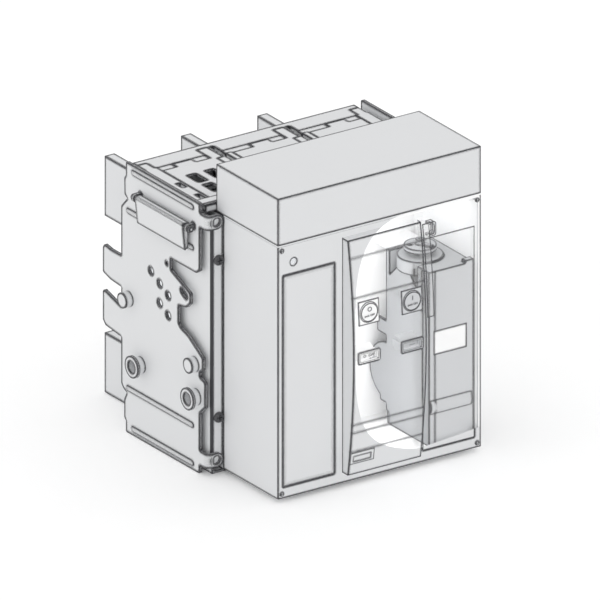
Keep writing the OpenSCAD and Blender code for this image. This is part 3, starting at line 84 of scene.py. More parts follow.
# Tone, roughness and grain that each finish has over its surface
TONE_LOW = 0.985
TONE_HIGH = 1.015
ROUGH_SPREAD = 0.06
SPECULAR_LEVEL = 0.3
BUMP_STRENGTH = 0.35
GRAIN_DEPTH = 0.00002
GRAIN_DETAIL = 3.0
CLOUD_SCALE = 14.0
CLOUD_DETAIL = 4.0
SHEET_GRAIN = 500.0
COPPER_GRAIN = 300.0
TURNED_GRAIN = 900.0
PLAIN_GRAIN = 700.0

# Drawn edges: how far from an edge the dark line reaches, in metres, and which turns show it
EDGE_REACH = 0.0042
BASE_REACH = 0.0054
OUTLINE_REACH = 0.0052
FASCIA_REACH = 0.0040
HOUSING_REACH = 0.0036
MOTOR_REACH = 0.0034
LABEL_REACH = 0.0030
THIN_REACH = 0.0026
PLATE_REACH = 0.0024
BUTTON_REACH = 0.0020
FLAG_FRAME_REACH = 0.0010
EDGE_SAMPLES = 10
EDGE_TURN_LOW = 0.978
EDGE_TURN_HIGH = 0.998

# The drawing counts across and down in steps of one pixel: steps per metre, and at the origin
ACROSS_PER_X = 811.4
ACROSS_PER_Y = -549.5
ACROSS_AT_ORIGIN = 288.73
DOWN_PER_X = -213.6
DOWN_PER_Y = -315.4
DOWN_PER_Z = -903.0
DOWN_AT_ORIGIN = 425.36

# The see-through oval, in those steps. Most finishes paint it paper white: a painted highlight.
OVAL_ACROSS = 441.0
OVAL_DOWN = 325.0
OVAL_HALF_WIDTH = 86.0
OVAL_RISE = 115.0
OVAL_FALL = 124.0
OVAL_POWER_ABOVE = 2.8
OVAL_POWER_BELOW = 4.6
OVAL_LEAN = 0.35
OVAL_LEAN_FROM = 24.0
OVAL_SOFT = 0.012

# Where the front cover is drawn. A box is its half width, its bottom and its top, in metres.
COVER_INSIDE = (0.1216, 0.0084, 0.2816)
COVER_OUTSIDE = (0.1247, 0.0053, 0.2847)
COVER_SKIN_DEPTH = 0.0006
COVER_RIM_HALF = 0.1222
COVER_RIM_Y = FRONT_Y + 0.004
COVER_LINES_TOP = 0.2836
COVER_SKIN = {"Half_Width": 0.1235, "Skin_Depth": COVER_SKIN_DEPTH}

# Outer skins of the other pieces of the front. The fascia and the handle share one arch.
ARCH_CENTRE_Z = 0.1464
ARCH = 0.629
PANEL_SKIN = {"Half_Width": 0.5, "Skin_Depth": 0.0004}
FASCIA_SKIN = {"Half_Width": 0.0445, "Centre_X": -0.001, "Skin_Depth": -0.0203, "Arch": ARCH}
FASCIA_RIGHT_LINES = (0.0425, FRONT_Y - 0.0040)
HANDLE_SKIN = {"Half_Width": 0.0528, "Skin_Depth": -0.0220, "Arch": ARCH}
HANDLE_HAZE = 0.12
CLEAR_HAZE = 0.03

# Other limits of lines and colours. The bend shadow is a half width and a depth: a dark band
# painted along the bend of the flange, a painted shadow gap. The button frames are a height
# and the reach of the lines above it.
# Behind this depth the gear motor is painted darker: a painted shade on its sides and top
MOTOR_FACE_Y = FRONT_Y + 0.0072
FLANGE_BEND_SHADOW = (0.1365, FRONT_Y + 0.1035)
BUTTON_LINES_Y = FRONT_Y - 0.0185
BUTTON_SOLID_Y = FRONT_Y - 0.0150
BUTTON_FRAMES = (0.170, THIN_REACH)
NO_LINES_Y = -1.0

# White label of the gear motor, in millimetres
LABEL_PLACE = (91.5, 6.3, 129.5)
LABEL_WIDTH = 41.0
LABEL_THICK = 0.5
LABEL_HEIGHT = 27.0
LABEL_CORNER = 0.6
LABEL_CORNER_STEPS = 4
LABEL_RIM = 0.7
LABEL_SINK = 0.15

# Marks on the buttons, in millimetres
OFF_MIDDLE = -27.0
ON_MIDDLE = 26.0
BUTTON_FACE = -22.35
SIGN_SIZE = 7.0
SIGN_HEIGHT = 200.2
WORDS_SIZE = 3.2
WORDS_HEIGHT = 193.4
LETTER_THICK = 0.15

# Marks on the flag drums, in millimetres, and the drums themselves, in metres
FLAG_MARK_SIZE = 4.6
FLAG_MARK_ASIDE = 4.6
FLAG_MARK_DEPTH = -14.75
FLAG_MARK_HEIGHT = 145.5
DRUM_Y = -0.1716
DRUM_Z = 0.14775
DRUM_RADIUS = 0.008

# Light. A lamp's size is its width and its length, and its place is as in at().
WORLD_LEVEL = 1.0
FRONT_LAMP_SIZE = (140.0, 244.0)
FRONT_LAMP_PLACE = (-32.0, 9.0, 132.0)
FRONT_LAMP_POWER = 0.21
WALL_LAMP_SIZE = (236.0, 84.0)
ROOF_LAMP_PLACE = (0.0, 52.0, 281.0)
ROOF_LAMP_POWER = 0.075
BOTTOM_LAMP_PLACE = (0.0, 52.0, 14.0)
BOTTOM_LAMP_POWER = 0.035
HOLE_LAMP_SIZE = (60.0, 42.0)
HOLE_LAMP_ASIDE = 141.2
HOLE_LAMP_DEPTH = 192.0
HOLE_LAMP_HEIGHT = 168.0
HOLE_LAMP_POWER = 0.0066
QUARTER_TURN = 90.0

# Floor
FLOOR_SPAN = 12.0
FLOOR_DROP = 0.0005
FLOOR_ROUGH = 0.9
FLOOR_GLOW = 0.05


def look_from(turn, rise):
    """Direction from the object to the camera."""
    return Vector((math.sin(turn) * math.cos(rise), -math.cos(turn) * math.cos(rise), math.sin(rise)))


def deselect_all():
    """Leaves edit mode, with nothing selected."""
    if bpy.context.object is not None and bpy.context.object.mode != "OBJECT":
        bpy.ops.object.mode_set(mode="OBJECT")
    bpy.ops.object.select_all(action="DESELECT")


# Nodes

def new_group(name, inputs, outputs):
    """A shader node group with named sockets, and its inner input and output nodes."""
    group = bpy.data.node_groups.new(name, "ShaderNodeTree")
    for label, kind, value in inputs:
        socket = group.interface.new_socket(name=label, in_out="INPUT", socket_type=kind)
        socket.default_value = value
    for label, kind in outputs:
        group.interface.new_socket(name=label, in_out="OUTPUT", socket_type=kind)
    return group, group.nodes.new("NodeGroupInput"), group.nodes.new("NodeGroupOutput")


def place_group(tree, group, **values):
    """Puts a node group in a material with its own values."""
    node = tree.nodes.new("ShaderNodeGroup")
    node.node_tree = group
    for label, value in values.items():
        node.inputs[label.replace("_", " ")].default_value = value
    return node


def math_node(tree, kind, first, second=None, third=None):
    """A Math node whose sockets are linked or set to a number."""
    node = tree.nodes.new("ShaderNodeMath")
    node.operation = kind
    for place, value in enumerate((first, second, third)):
        if value is None:
            continue
        if isinstance(value, (int, float)):
            node.inputs[place].default_value = value
        else:
            tree.links.new(value, node.inputs[place])
    return node.outputs[0]


def greater(tree, value, limit):
    """Mask of where a value is above a limit."""
    return math_node(tree, "GREATER_THAN", value, limit)


def less(tree, value, limit):
    """Mask of where a value is below a limit."""
    return math_node(tree, "LESS_THAN", value, limit)


def both(tree, first, second):
    """Mask of where both masks hold."""
    return math_node(tree, "MULTIPLY", first, second)


def either(tree, first, second):
    """Mask of where one of two masks holds."""
    return math_node(tree, "MAXIMUM", first, second)


def opposite(tree, mask):
    """Mask of where another mask doesn't hold."""
    return math_node(tree, "SUBTRACT", 1.0, mask)


def unsigned(tree, value):
    """A value without its sign."""
    return math_node(tree, "ABSOLUTE", value)


def step_node(tree, value, low, high):
    """A smooth step from 0 at low to 1 at high."""
    node = tree.nodes.new("ShaderNodeMapRange")
    node.interpolation_type = "SMOOTHSTEP"
    tree.links.new(value, node.inputs["Value"])
    node.inputs["From Min"].default_value = low
    node.inputs["From Max"].default_value = high
    return node.outputs["Result"]


def noise_node(tree, place, scale, detail):
    """A Noise texture whose scale is linked."""
    node = tree.nodes.new("ShaderNodeTexNoise")
    node.inputs["Detail"].default_value = detail
    tree.links.new(place, node.inputs["Vector"])
    tree.links.new(scale, node.inputs["Scale"])
    return node.outputs["Fac"]


def mix_colour(tree, mask, first, second):
    """Mixes two colours, each a plain colour or a socket, by a mask."""
    node = tree.nodes.new("ShaderNodeMix")
    node.data_type = "RGBA"
    tree.links.new(mask, node.inputs["Factor"])
    colours = [socket for socket in node.inputs if socket.type == "RGBA"]
    for socket, value in zip(colours, (first, second)):
        if isinstance(value, tuple):
            socket.default_value = value
        else:
            tree.links.new(value, socket)
    return next(socket for socket in node.outputs if socket.type == "RGBA")


def spot_on(tree):
    """X, Y and Z of a point on the piece, in the frame."""
    place = tree.nodes.new("ShaderNodeTexCoord")
    parts = tree.nodes.new("ShaderNodeSeparateXYZ")
    tree.links.new(place.outputs["Object"], parts.inputs[0])
    return parts.outputs["X"], parts.outputs["Y"], parts.outputs["Z"]


def beyond_box(tree, spot, box):
    """Mask of what lies beside, under or over a box: its half width, its bottom and its top."""
    x, _, z = spot
    half_width, bottom, top = box
    beside = greater(tree, unsigned(tree, x), half_width)
    return either(tree, beside, either(tree, less(tree, z, bottom), greater(tree, z, top)))


# Node groups that the finishes share

def make_drawn_edge():
    """Mask of the dark line along each edge, from how far a rounded normal leaves the face."""
    group, entry, leave = new_group("drawn edge", [("Reach", "NodeSocketFloat", EDGE_REACH)],
                                    [("Line", "NodeSocketFloat")])
    rounded = group.nodes.new("ShaderNodeBevel")
    rounded.samples = EDGE_SAMPLES
    group.links.new(entry.outputs["Reach"], rounded.inputs["Radius"])
    face = group.nodes.new("ShaderNodeNewGeometry")
    likeness = group.nodes.new("ShaderNodeVectorMath")
    likeness.operation = "DOT_PRODUCT"
    group.links.new(rounded.outputs["Normal"], likeness.inputs[0])
    group.links.new(face.outputs["True Normal"], likeness.inputs[1])
    alike = unsigned(group, likeness.outputs["Value"])
    flat = step_node(group, alike, EDGE_TURN_LOW, EDGE_TURN_HIGH)
    group.links.new(opposite(group, flat), leave.inputs["Line"])
    return group


def make_drawing_window():
    """Mask of the oval in which the drawing shows what lies behind the front. Most finishes paint it
    paper white there, a painted highlight.
    """
    group, entry, leave = new_group("see-through and highlight oval", [("Grow", "NodeSocketFloat", 0.0)],
                                    [("Inside", "NodeSocketFloat")])
    x, y, z = spot_on(group)
    across = math_node(group, "MULTIPLY_ADD", x, ACROSS_PER_X, ACROSS_AT_ORIGIN - OVAL_ACROSS)
    across = math_node(group, "MULTIPLY_ADD", y, ACROSS_PER_Y, across)
    down = math_node(group, "MULTIPLY_ADD", x, DOWN_PER_X, DOWN_AT_ORIGIN - OVAL_DOWN)
    down = math_node(group, "MULTIPLY_ADD", y, DOWN_PER_Y, down)
    down = math_node(group, "MULTIPLY_ADD", z, DOWN_PER_Z, down)
    # Right of its middle the oval leans up along the top edge of the cover
    lean = math_node(group, "MAXIMUM", math_node(group, "ADD", across, OVAL_LEAN_FROM), 0.0)
    down = math_node(group, "MULTIPLY_ADD", lean, OVAL_LEAN, down)
    # The lower half is squarer than the upper one
    lower = greater(group, down, 0.0)
    power = math_node(group, "MULTIPLY_ADD", lower, OVAL_POWER_BELOW - OVAL_POWER_ABOVE,
                      OVAL_POWER_ABOVE)
    reach = math_node(group, "MULTIPLY_ADD", lower, OVAL_FALL - OVAL_RISE, OVAL_RISE)
    across = math_node(group, "DIVIDE", across, OVAL_HALF_WIDTH)
    down = math_node(group, "DIVIDE", down, reach)
    across = math_node(group, "POWER", unsigned(group, across), power)
    down = math_node(group, "POWER", unsigned(group, down), power)
    total = math_node(group, "ADD", across, down)
    total = math_node(group, "SUBTRACT", total, entry.outputs["Grow"])
    outside = step_node(group, total, 1.0 - OVAL_SOFT, 1.0 + OVAL_SOFT)
    group.links.new(opposite(group, outside), leave.inputs["Inside"])
    return group


def make_outer_skin():
    """Mask of what lies on or before the outer skin of the front, where the drawing has lines."""
    group, entry, leave = new_group(
        "outer skin",
        [("Half Width", "NodeSocketFloat", COVER_SKIN["Half_Width"]),
         ("Skin Depth", "NodeSocketFloat", COVER_SKIN_DEPTH),
         ("Centre X", "NodeSocketFloat", 0.0), ("Arch", "NodeSocketFloat", 0.0),
         ("Arch Centre Z", "NodeSocketFloat", ARCH_CENTRE_Z)],
        [("Outer", "NodeSocketFloat")])
    x, y, z = spot_on(group)
    aside = unsigned(group, math_node(group, "SUBTRACT", x, entry.outputs["Centre X"]))
    at_side = greater(group, aside, entry.outputs["Half Width"])
    rise = math_node(group, "SUBTRACT", z, entry.outputs["Arch Centre Z"])
    rise = math_node(group, "MULTIPLY", rise, rise)
    bulge = math_node(group, "MULTIPLY", rise, entry.outputs["Arch"])
    bulge = math_node(group, "ADD", bulge, entry.outputs["Skin Depth"])
    depth = math_node(group, "SUBTRACT", y, FRONT_Y)
    in_front = less(group, depth, bulge)
    group.links.new(either(group, at_side, in_front), leave.inputs["Outer"])
    return group


def make_fine_grain():
    """Fine uneven grain: a height for the bump and a soft cloud for colour and roughness."""
    group, entry, leave = new_group(
        "fine grain",
        [("Grain Scale", "NodeSocketFloat", TURNED_GRAIN), ("Cloud Scale", "NodeSocketFloat", CLOUD_SCALE)],
        [("Height", "NodeSocketFloat"), ("Cloud", "NodeSocketFloat")])
    place = group.nodes.new("ShaderNodeTexCoord").outputs["Object"]
    grain = noise_node(group, place, entry.outputs["Grain Scale"], GRAIN_DETAIL)
    cloud = noise_node(group, place, entry.outputs["Cloud Scale"], CLOUD_DETAIL)
    group.links.new(grain, leave.inputs["Height"])
    group.links.new(cloud, leave.inputs["Cloud"])
    return group


DRAWN_EDGE = make_drawn_edge()
DRAWING_WINDOW = make_drawing_window()
FINE_GRAIN = make_fine_grain()
OUTER_SKIN = make_outer_skin()


# Finishes

def shade(colour, factor):
    """A lighter or darker tone of a colour."""
    return tuple(min(1.0, part * factor) for part in colour[:3]) + (1.0,)


def line_mask(tree, spot, edge, wider_above=None, skin=None, lines_before=None,
              right_before=None, lines_below=None, bend=None):
    """Mask of the dark lines. edge is how far they reach, and wider_above a height and the reach
    above it. skin, lines_before and lines_below keep them on the outer skin, before a depth and
    below a height. right_before is an X, right of which they run only before a depth, and
    bend adds a dark band beyond a half width and before a depth: a painted shadow gap
    at the bend of the flange."""
    x, y, z = spot
    drawn = place_group(tree, DRAWN_EDGE, Reach=edge)
    lines = drawn.outputs["Line"]
    if wider_above is not None:
        height, wide = wider_above
        reach = math_node(tree, "MULTIPLY_ADD", greater(tree, z, height), wide - edge, edge)
        tree.links.new(reach, drawn.inputs["Reach"])
    if skin is not None:
        lines = both(tree, lines, place_group(tree, OUTER_SKIN, **skin).outputs["Outer"])
    if lines_before is not None:
        lines = both(tree, lines, less(tree, y, lines_before))
    if right_before is not None:
        limit_x, limit_y = right_before
        kept = either(tree, less(tree, x, limit_x), less(tree, y, limit_y))
        lines = both(tree, lines, kept)
    if lines_below is not None:
        lines = both(tree, lines, less(tree, z, lines_below))
    # A dark band painted at the bend of the flange: a painted shadow gap
    if bend is not None:
        half_width, limit_y = bend
        aside = greater(tree, unsigned(tree, x), half_width)
        lines = either(tree, lines, both(tree, aside, less(tree, y, limit_y)))
    return lines


def solid_mask(tree, spot, inside, lines, haze=CLEAR_HAZE, wall=None, solid_before=None,
               blocks_light=None):
    """Mask of what the camera can't see through: all outside the oval, and the lines and a haze
    inside it. wall is a box beyond which the piece is solid, and solid_before a depth. Light
    passes everywhere, or where blocks_light is a mask, only inside that."""
    solid = either(tree, either(tree, opposite(tree, inside), lines), haze)
    if wall is not None:
        solid = either(tree, solid, beyond_box(tree, spot, wall))
    if solid_before is not None:
        solid = either(tree, solid, less(tree, spot[1], solid_before))
    seen = tree.nodes.new("ShaderNodeLightPath")
    solid = both(tree, solid, seen.outputs["Is Camera Ray"])
    if blocks_light is not None:
        solid = either(tree, solid, opposite(tree, blocks_light))
    return solid


def make_finish(name, colour, rough, metal=0.0, grain=PLAIN_GRAIN, coat=0.0, edge=EDGE_REACH,
                right=None, shaded_behind=None, oval_highlight=None, oval_highlight_right=None, outer_box=None,
                rim_half=None, plain_inside=False, clear=None, blocks_light=False, **limits):
    """A surface finish: its colour with a soft cloud, fine grain, drawn edges and the oval.

    right is the colour right of the middle, and shaded_behind a depth and the darker colour painted behind
    it, a painted shade.
    oval_highlight is the colour inside the oval, and oval_highlight_right that right of the middle:
    paper white on most finishes, a painted highlight. outer_box is a box around which the oval
    leaves the colour alone. Inside the oval, rim_half leaves only the lines of the rim beyond that
    half width, and plain_inside leaves none. clear holds the values of solid_mask for a finish that
    is see-through there, and limits those of line_mask.
    """
    material = bpy.data.materials.new(name)
    material.use_nodes = True
    tree = material.node_tree
    surface = tree.nodes["Principled BSDF"]
    texture = place_group(tree, FINE_GRAIN, Grain_Scale=grain)
    cloud = texture.outputs["Cloud"]
    shown = mix_colour(tree, cloud, shade(colour, TONE_LOW), shade(colour, TONE_HIGH))
    spot = spot_on(tree)
    x, y, _ = spot
    if right is not None:
        shown = mix_colour(tree, greater(tree, x, 0.0), shown, right)
    # Behind a depth the colour is a darker copy: painted shade on the sides of the gear motor
    if shaded_behind is not None:
        limit_y, shade_colour = shaded_behind
        shown = mix_colour(tree, greater(tree, y, limit_y), shown, shade_colour)
    lines = line_mask(tree, spot, edge, **limits)
    if oval_highlight is not None:
        oval = place_group(tree, DRAWING_WINDOW).outputs["Inside"]
        inside = oval
        if outer_box is not None:
            behind_skin = greater(tree, y, FRONT_Y + COVER_SKIN_DEPTH)
            around = both(tree, beyond_box(tree, spot, outer_box), behind_skin)
            inside = both(tree, inside, opposite(tree, around))
        # On most finishes the oval is painted paper white: a painted highlight
        painted_highlight = oval_highlight
        if oval_highlight_right is not None:
            painted_highlight = mix_colour(tree, greater(tree, x, 0.0), oval_highlight, oval_highlight_right)
        shown = mix_colour(tree, inside, shown, painted_highlight)
        if rim_half is not None:
            rim = both(tree, greater(tree, unsigned(tree, x), rim_half), less(tree, y, COVER_RIM_Y))
            lines = both(tree, lines, either(tree, rim, opposite(tree, inside)))
        if plain_inside:
            lines = both(tree, lines, opposite(tree, inside))
        if clear is not None:
            light_way = oval if blocks_light else None
            solid = solid_mask(tree, spot, inside, lines, blocks_light=light_way, **clear)
            tree.links.new(solid, surface.inputs["Alpha"])
    shown = mix_colour(tree, lines, shown, LINE_DARK)
    tree.links.new(shown, surface.inputs["Base Color"])
    dull = tree.nodes.new("ShaderNodeMapRange")
    tree.links.new(cloud, dull.inputs["Value"])
    dull.inputs["To Min"].default_value = rough - ROUGH_SPREAD
    dull.inputs["To Max"].default_value = rough + ROUGH_SPREAD
    tree.links.new(dull.outputs["Result"], surface.inputs["Roughness"])
    bump = tree.nodes.new("ShaderNodeBump")
    bump.inputs["Strength"].default_value = BUMP_STRENGTH
    bump.inputs["Distance"].default_value = GRAIN_DEPTH
    tree.links.new(texture.outputs["Height"], bump.inputs["Height"])
    tree.links.new(bump.outputs["Normal"], surface.inputs["Normal"])
    surface.inputs["Metallic"].default_value = metal
    surface.inputs["Specular IOR Level"].default_value = SPECULAR_LEVEL
    surface.inputs["Coat Weight"].default_value = coat
    return material


# Finish of each slot of the record
FINISHES = {
    "sheet_steel": make_finish("zinc plated sheet", FRAME_GREY, rough=0.5, metal=0.15,
                               grain=SHEET_GRAIN),
    "turned_steel": make_finish("turned steel", PALE_GREY, rough=0.42, metal=0.25,
                                grain=TURNED_GRAIN),
    # Grey mouldings are painted paper white inside the oval: a painted highlight
    "grey_moulding": make_finish("grey moulding", PALE_GREY, rough=0.55, oval_highlight=PAPER_WHITE),
    "tinned_copper": make_finish("tinned copper", PALE_GREY, rough=0.4, metal=0.25,
                                 grain=COPPER_GRAIN, edge=OUTLINE_REACH),
    # The gear motor is painted darker behind its front face: a painted shade
    "motor_grey": make_finish("gear motor grey", MOTOR_GREY, rough=0.5, edge=MOTOR_REACH,
                              shaded_behind=(MOTOR_FACE_Y, MOTOR_SIDE_SHADE)),
    "clear_moulding": make_finish("clear moulding", PALE_GREY, rough=0.25, oval_highlight=PAPER_WHITE,
                                  clear={}),
    "white_moulding": make_finish("white moulding", PAPER_WHITE, rough=0.5),
    "black_screws": make_finish("blackened screws", SCREW_BLACK, rough=0.28, coat=0.8),
}

# Finishes of single pieces
# Pieces behind the front are pale grey, and paper white inside the oval: a painted highlight
HIDDEN_HIGHLIGHT = make_finish("painted highlight inside the front", PALE_GREY, rough=0.6, oval_highlight=PAPER_WHITE,
                           plain_inside=True)
SHIELD_FINISH = make_finish("terminal shield", PALE_GREY, rough=0.55, edge=HOUSING_REACH)
SIDE_PLATE_FINISH = make_finish("zinc plated side plate", FRAME_GREY, rough=0.5, metal=0.15,
                                grain=SHEET_GRAIN, edge=OUTLINE_REACH)
REAR_BASE_FINISH = make_finish("rear base", PALE_GREY, rough=0.55, edge=BASE_REACH)
# The flange carries a painted shadow gap along its bend
INNER_PLATE_FINISH = make_finish("zinc plated flange", FRAME_GREY, rough=0.5, metal=0.15,
                                 grain=SHEET_GRAIN, bend=FLANGE_BEND_SHADOW)
COVER_FINISH = make_finish("front cover", PALE_GREY, rough=0.55, edge=HOUSING_REACH,
                           oval_highlight=PAPER_WHITE, skin=COVER_SKIN, lines_below=COVER_LINES_TOP,
                           rim_half=COVER_RIM_HALF, outer_box=COVER_OUTSIDE,
                           clear={"wall": COVER_INSIDE}, blocks_light=True)
# The opaque blanking panel is painted paper white inside the oval: a painted highlight
BLANKING_FINISH = make_finish("blanking panel", PALE_GREY, rough=0.55, oval_highlight=PAPER_WHITE,
                              skin=PANEL_SKIN)
PANEL_FINISH = make_finish("clear panel", PALE_GREY, rough=0.25, edge=THIN_REACH,
                           oval_highlight=PAPER_WHITE, skin=PANEL_SKIN, clear={})
FASCIA_FINISH = make_finish("clear fascia", PALE_GREY, rough=0.25, edge=FASCIA_REACH,
                            oval_highlight=PAPER_WHITE, skin=FASCIA_SKIN,
                            right_before=FASCIA_RIGHT_LINES, clear={})
HANDLE_FINISH = make_finish("clear handle", PALE_GREY, rough=0.25, edge=THIN_REACH,
                            oval_highlight=PALE_GREY, skin=HANDLE_SKIN, clear={"haze": HANDLE_HAZE})
SCREW_FINISH = make_finish("cover screws", PALE_GREY, rough=0.4, metal=0.3, edge=THIN_REACH)
HIDDEN_CLEAR = make_finish("clear bracket", PALE_GREY, rough=0.4, oval_highlight=PAPER_WHITE,
                           plain_inside=True, clear={})
# Button frames and flag drums: paper white left of the middle, the painted highlight, and motor grey right
# of it, like the gear motor behind
BEZEL_FINISH = make_finish("button frames", PAPER_WHITE, rough=0.5, right=MOTOR_GREY,
                           edge=FLAG_FRAME_REACH, wider_above=BUTTON_FRAMES,
                           oval_highlight=PAPER_WHITE, oval_highlight_right=MOTOR_GREY,
                           lines_before=BUTTON_LINES_Y)
FLAG_FINISH = make_finish("flag drums", PAPER_WHITE, rough=0.5, right=MOTOR_GREY,
                          oval_highlight=PAPER_WHITE, oval_highlight_right=MOTOR_GREY, lines_before=NO_LINES_Y)
ON_BUTTON_FINISH = make_finish("on button", MOTOR_GREY, rough=0.5, edge=BUTTON_REACH,
                               oval_highlight=MOTOR_GREY, lines_before=BUTTON_LINES_Y,
                               clear={"solid_before": BUTTON_SOLID_Y})
OFF_BUTTON_FINISH = make_finish("off button", PAPER_WHITE, rough=0.5, edge=BUTTON_REACH,
                                oval_highlight=PAPER_WHITE, lines_before=BUTTON_LINES_Y,
                                clear={"solid_before": BUTTON_SOLID_Y})
PLATE_FINISH = make_finish("name plate", PALE_GREY, rough=0.45, edge=PLATE_REACH)
LABEL_FINISH = make_finish("label white", PAPER_WHITE, rough=0.45, edge=LABEL_REACH)
MARK_FINISH = make_finish("mark grey", MARK_GREY, rough=0.5)

SINGLE_FINISHES = {
    "front_cover": COVER_FINISH,
    "side_plate_left": SIDE_PLATE_FINISH,
    "side_plate_right": SIDE_PLATE_FINISH,
    "rear_base": REAR_BASE_FINISH,
    "inner_plate_left": INNER_PLATE_FINISH,
    "inner_plate_right": INNER_PLATE_FINISH,
    "clear_panel": PANEL_FINISH,
    "fascia": FASCIA_FINISH,
    "charging_handle": HANDLE_FINISH,
    "cover_screws": SCREW_FINISH,
    "terminal_shield": SHIELD_FINISH,
    "name_plate": PLATE_FINISH,
    "handle_bracket": HIDDEN_CLEAR,
    "blanking_panel": BLANKING_FINISH,
    "button_bezels": BEZEL_FINISH,
    "position_flag": FLAG_FINISH,
    "charge_flag": FLAG_FINISH,
    "on_button": ON_BUTTON_FINISH,
    "off_button": OFF_BUTTON_FINISH,
}
BEHIND_THE_FRONT = ("pole_case", "mechanism_frame", "closing_spring", "main_shaft", "pole_shaft",
                    "contact_arms", "runner_left", "runner_right", "chassis_floor",
                    "motor_bracket")


def dress(node, finish):
    """Gives a CAD node one finish all over."""
    if not node.material_slots:
        node.data.materials.append(finish)
    for place in node.material_slots:
        place.material = finish


# Each CAD node takes the finish of its slot, and some take one of their own
for part in frame["record"]["subparts"]:
    dress(frame["nodes"][part["node"]], FINISHES[part["material_slot"]])
for node_name, finish in SINGLE_FINISHES.items():
    dress(frame["nodes"][node_name], finish)
for node_name in BEHIND_THE_FRONT:
    dress(frame["nodes"][node_name], HIDDEN_HIGHLIGHT)


# Pieces that are modelled here

def edit_mesh(piece):
    """Enters edit mode on one piece with nothing selected."""
    deselect_all()
    bpy.context.view_layer.objects.active = piece
    piece.select_set(True)
    bpy.ops.object.mode_set(mode="EDIT")
    bpy.ops.mesh.select_all(action="DESELECT")


def settle(piece, name, body, finish):
    """Names a finished piece, puts its place in its mesh, and ties it to its body and slot."""
    deselect_all()
    piece.select_set(True)
    bpy.context.view_layer.objects.active = piece
    bpy.ops.object.transform_apply(location=True, rotation=True, scale=True)
    piece.name = name
    piece.data.materials.clear()
    piece.data.materials.append(finish)
    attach(piece, body)
    return piece


def make_motor_label():
    """The blank white label on the gear motor: a thin plate with round corners and a raised rim."""
    deselect_all()
    bpy.ops.mesh.primitive_cube_add(size=1.0, location=at(*LABEL_PLACE))
    label = bpy.context.object
    label.scale = (LABEL_WIDTH * MM, LABEL_THICK * MM, LABEL_HEIGHT * MM)
    bpy.ops.object.transform_apply(location=True, rotation=True, scale=True)
    edit_mesh(label)
    shape = bmesh.from_edit_mesh(label.data)
    for edge in shape.edges:
        along = (edge.verts[0].co - edge.verts[1].co).normalized()
        edge.select_set(abs(along.y) > FACING)
    bmesh.update_edit_mesh(label.data)
    bpy.ops.mesh.bevel(offset=LABEL_CORNER * MM, segments=LABEL_CORNER_STEPS, affect="EDGES")
    edit_mesh(label)
    shape = bmesh.from_edit_mesh(label.data)
    for face in shape.faces:
        face.select_set(face.normal.y < -FACING)
    bmesh.update_edit_mesh(label.data)
    bpy.ops.mesh.inset(thickness=LABEL_RIM * MM)
    bpy.ops.transform.translate(value=(0.0, LABEL_SINK * MM, 0.0))
    return settle(label, "motor_label", "switch_unit", LABEL_FINISH)


def make_words(words, size, centre, name, body):
    """Small generic words or marks, cut as thin raised letters that face the front."""
    deselect_all()
    bpy.ops.object.text_add()
    letters = bpy.context.object
    letters.data.body = words
    letters.data.size = size * MM
    letters.data.align_x = "CENTER"
    letters.data.align_y = "CENTER"
    letters.data.extrude = LETTER_THICK * MM
    letters.rotation_euler = (math.radians(QUARTER_TURN), 0.0, 0.0)
    letters.location = centre
    bpy.ops.object.convert(target="MESH")
    return settle(bpy.context.object, name, body, MARK_FINISH)


def wrap_on_drum(piece):
    """Lays a flat mark on the front of a flag drum."""
    for vertex in piece.data.vertices:
        turn = (vertex.co.z - DRUM_Z) / DRUM_RADIUS
        reach = DRUM_Y - vertex.co.y
        vertex.co.y = DRUM_Y - reach * math.cos(turn)
        vertex.co.z = DRUM_Z + reach * math.sin(turn)


def make_button_marks(sign, words, middle, body, name):
    """The sign and the words on one button."""
    make_words(sign, SIGN_SIZE, at(middle, BUTTON_FACE, SIGN_HEIGHT), name + "_mark", body)
    make_words(words, WORDS_SIZE, at(middle, BUTTON_FACE, WORDS_HEIGHT), name + "_words", body)


def make_flag_mark(words, middle, body, name):
    """The mark on one flag drum."""
    centre = at(middle + FLAG_MARK_ASIDE, FLAG_MARK_DEPTH, FLAG_MARK_HEIGHT)
    wrap_on_drum(make_words(words, FLAG_MARK_SIZE, centre, name, body))


make_motor_label()
make_button_marks("O", "push OFF", OFF_MIDDLE, "off_push", "off")
make_button_marks("I", "push ON", ON_MIDDLE, "on_push", "on")
make_flag_mark("O  OFF", OFF_MIDDLE, "contact_indicator", "position_words")
make_flag_mark("-----", ON_MIDDLE, "spring_indicator", "charge_bar")


# Floor, light and camera

def make_floor():
    """A plain pale floor under the chassis, that glows a little."""
    deselect_all()
    bpy.ops.mesh.primitive_plane_add(size=FLOOR_SPAN,
                                     location=(0.0, 0.0, cad_box[0][2] - FLOOR_DROP))
    floor = bpy.context.object
    floor.name = "floor"
    material = bpy.data.materials.new("pale floor")
    material.use_nodes = True
    surface = material.node_tree.nodes["Principled BSDF"]
    surface.inputs["Base Color"].default_value = FULL_WHITE
    surface.inputs["Roughness"].default_value = FLOOR_ROUGH
    surface.inputs["Specular IOR Level"].default_value = 0.0
    surface.inputs["Emission Color"].default_value = FULL_WHITE
    surface.inputs["Emission Strength"].default_value = FLOOR_GLOW
    floor.data.materials.append(material)


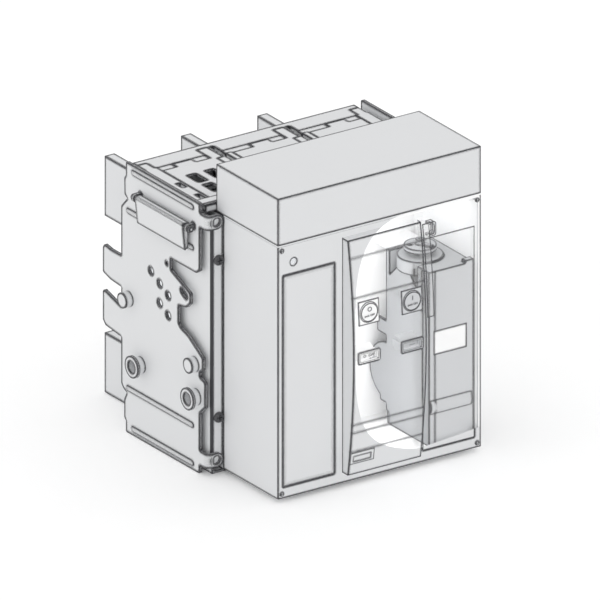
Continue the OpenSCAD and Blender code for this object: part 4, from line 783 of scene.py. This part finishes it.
def make_lamp(name, size, place, power, turn=0.0, roll=0.0):
    """A soft flat lamp inside the unit. It shines down, unless it is turned or rolled."""
    light = bpy.data.lights.new(name, "AREA")
    light.shape = "RECTANGLE"
    light.size = size[0] * MM
    light.size_y = size[1] * MM
    light.energy = power
    lamp = bpy.data.objects.new(name, light)
    bpy.context.scene.collection.objects.link(lamp)
    lamp.location = place
    lamp.rotation_euler = (math.radians(turn), math.radians(roll), 0.0)
    lamp.visible_camera = False


def light_the_inside():
    """Lamps in the front cover, so that its inside is as pale as the paper, and one behind the
    drilled holes of each side plate."""
    make_lamp("lamp behind the fascia", FRONT_LAMP_SIZE, at(*FRONT_LAMP_PLACE), FRONT_LAMP_POWER,
              turn=QUARTER_TURN)
    make_lamp("lamp under the roof", WALL_LAMP_SIZE, at(*ROOF_LAMP_PLACE), ROOF_LAMP_POWER)
    make_lamp("lamp over the bottom wall", WALL_LAMP_SIZE, at(*BOTTOM_LAMP_PLACE),
              BOTTOM_LAMP_POWER)
    for name, side in (("left", -1.0), ("right", 1.0)):
        make_lamp("lamp behind the %s holes" % name, HOLE_LAMP_SIZE,
                  at(side * HOLE_LAMP_ASIDE, HOLE_LAMP_DEPTH, HOLE_LAMP_HEIGHT), HOLE_LAMP_POWER,
                  roll=side * QUARTER_TURN)


def make_world():
    """An even white studio."""
    world = bpy.data.worlds.new("pale studio")
    bpy.context.scene.world = world
    world.use_nodes = True
    background = world.node_tree.nodes["Background"]
    background.inputs["Color"].default_value = FULL_WHITE
    background.inputs["Strength"].default_value = WORLD_LEVEL


def make_camera():
    """A camera without perspective, as in the drawing."""
    lens = bpy.data.cameras.new("drawing camera")
    lens.type = "ORTHO"
    lens.ortho_scale = CAMERA_SPAN
    lens.clip_end = CAMERA_SEES_TO
    camera = bpy.data.objects.new("drawing camera", lens)
    bpy.context.scene.collection.objects.link(camera)
    back = look_from(CAMERA_TURN, CAMERA_RISE)
    camera.location = CAMERA_AIM + back * CAMERA_AWAY
    camera.rotation_euler = back.to_track_quat("Z", "Y").to_euler()
    bpy.context.scene.camera = camera


make_floor()
light_the_inside()
make_world()
make_camera()
bpy.context.scene.view_settings.view_transform = "Standard"
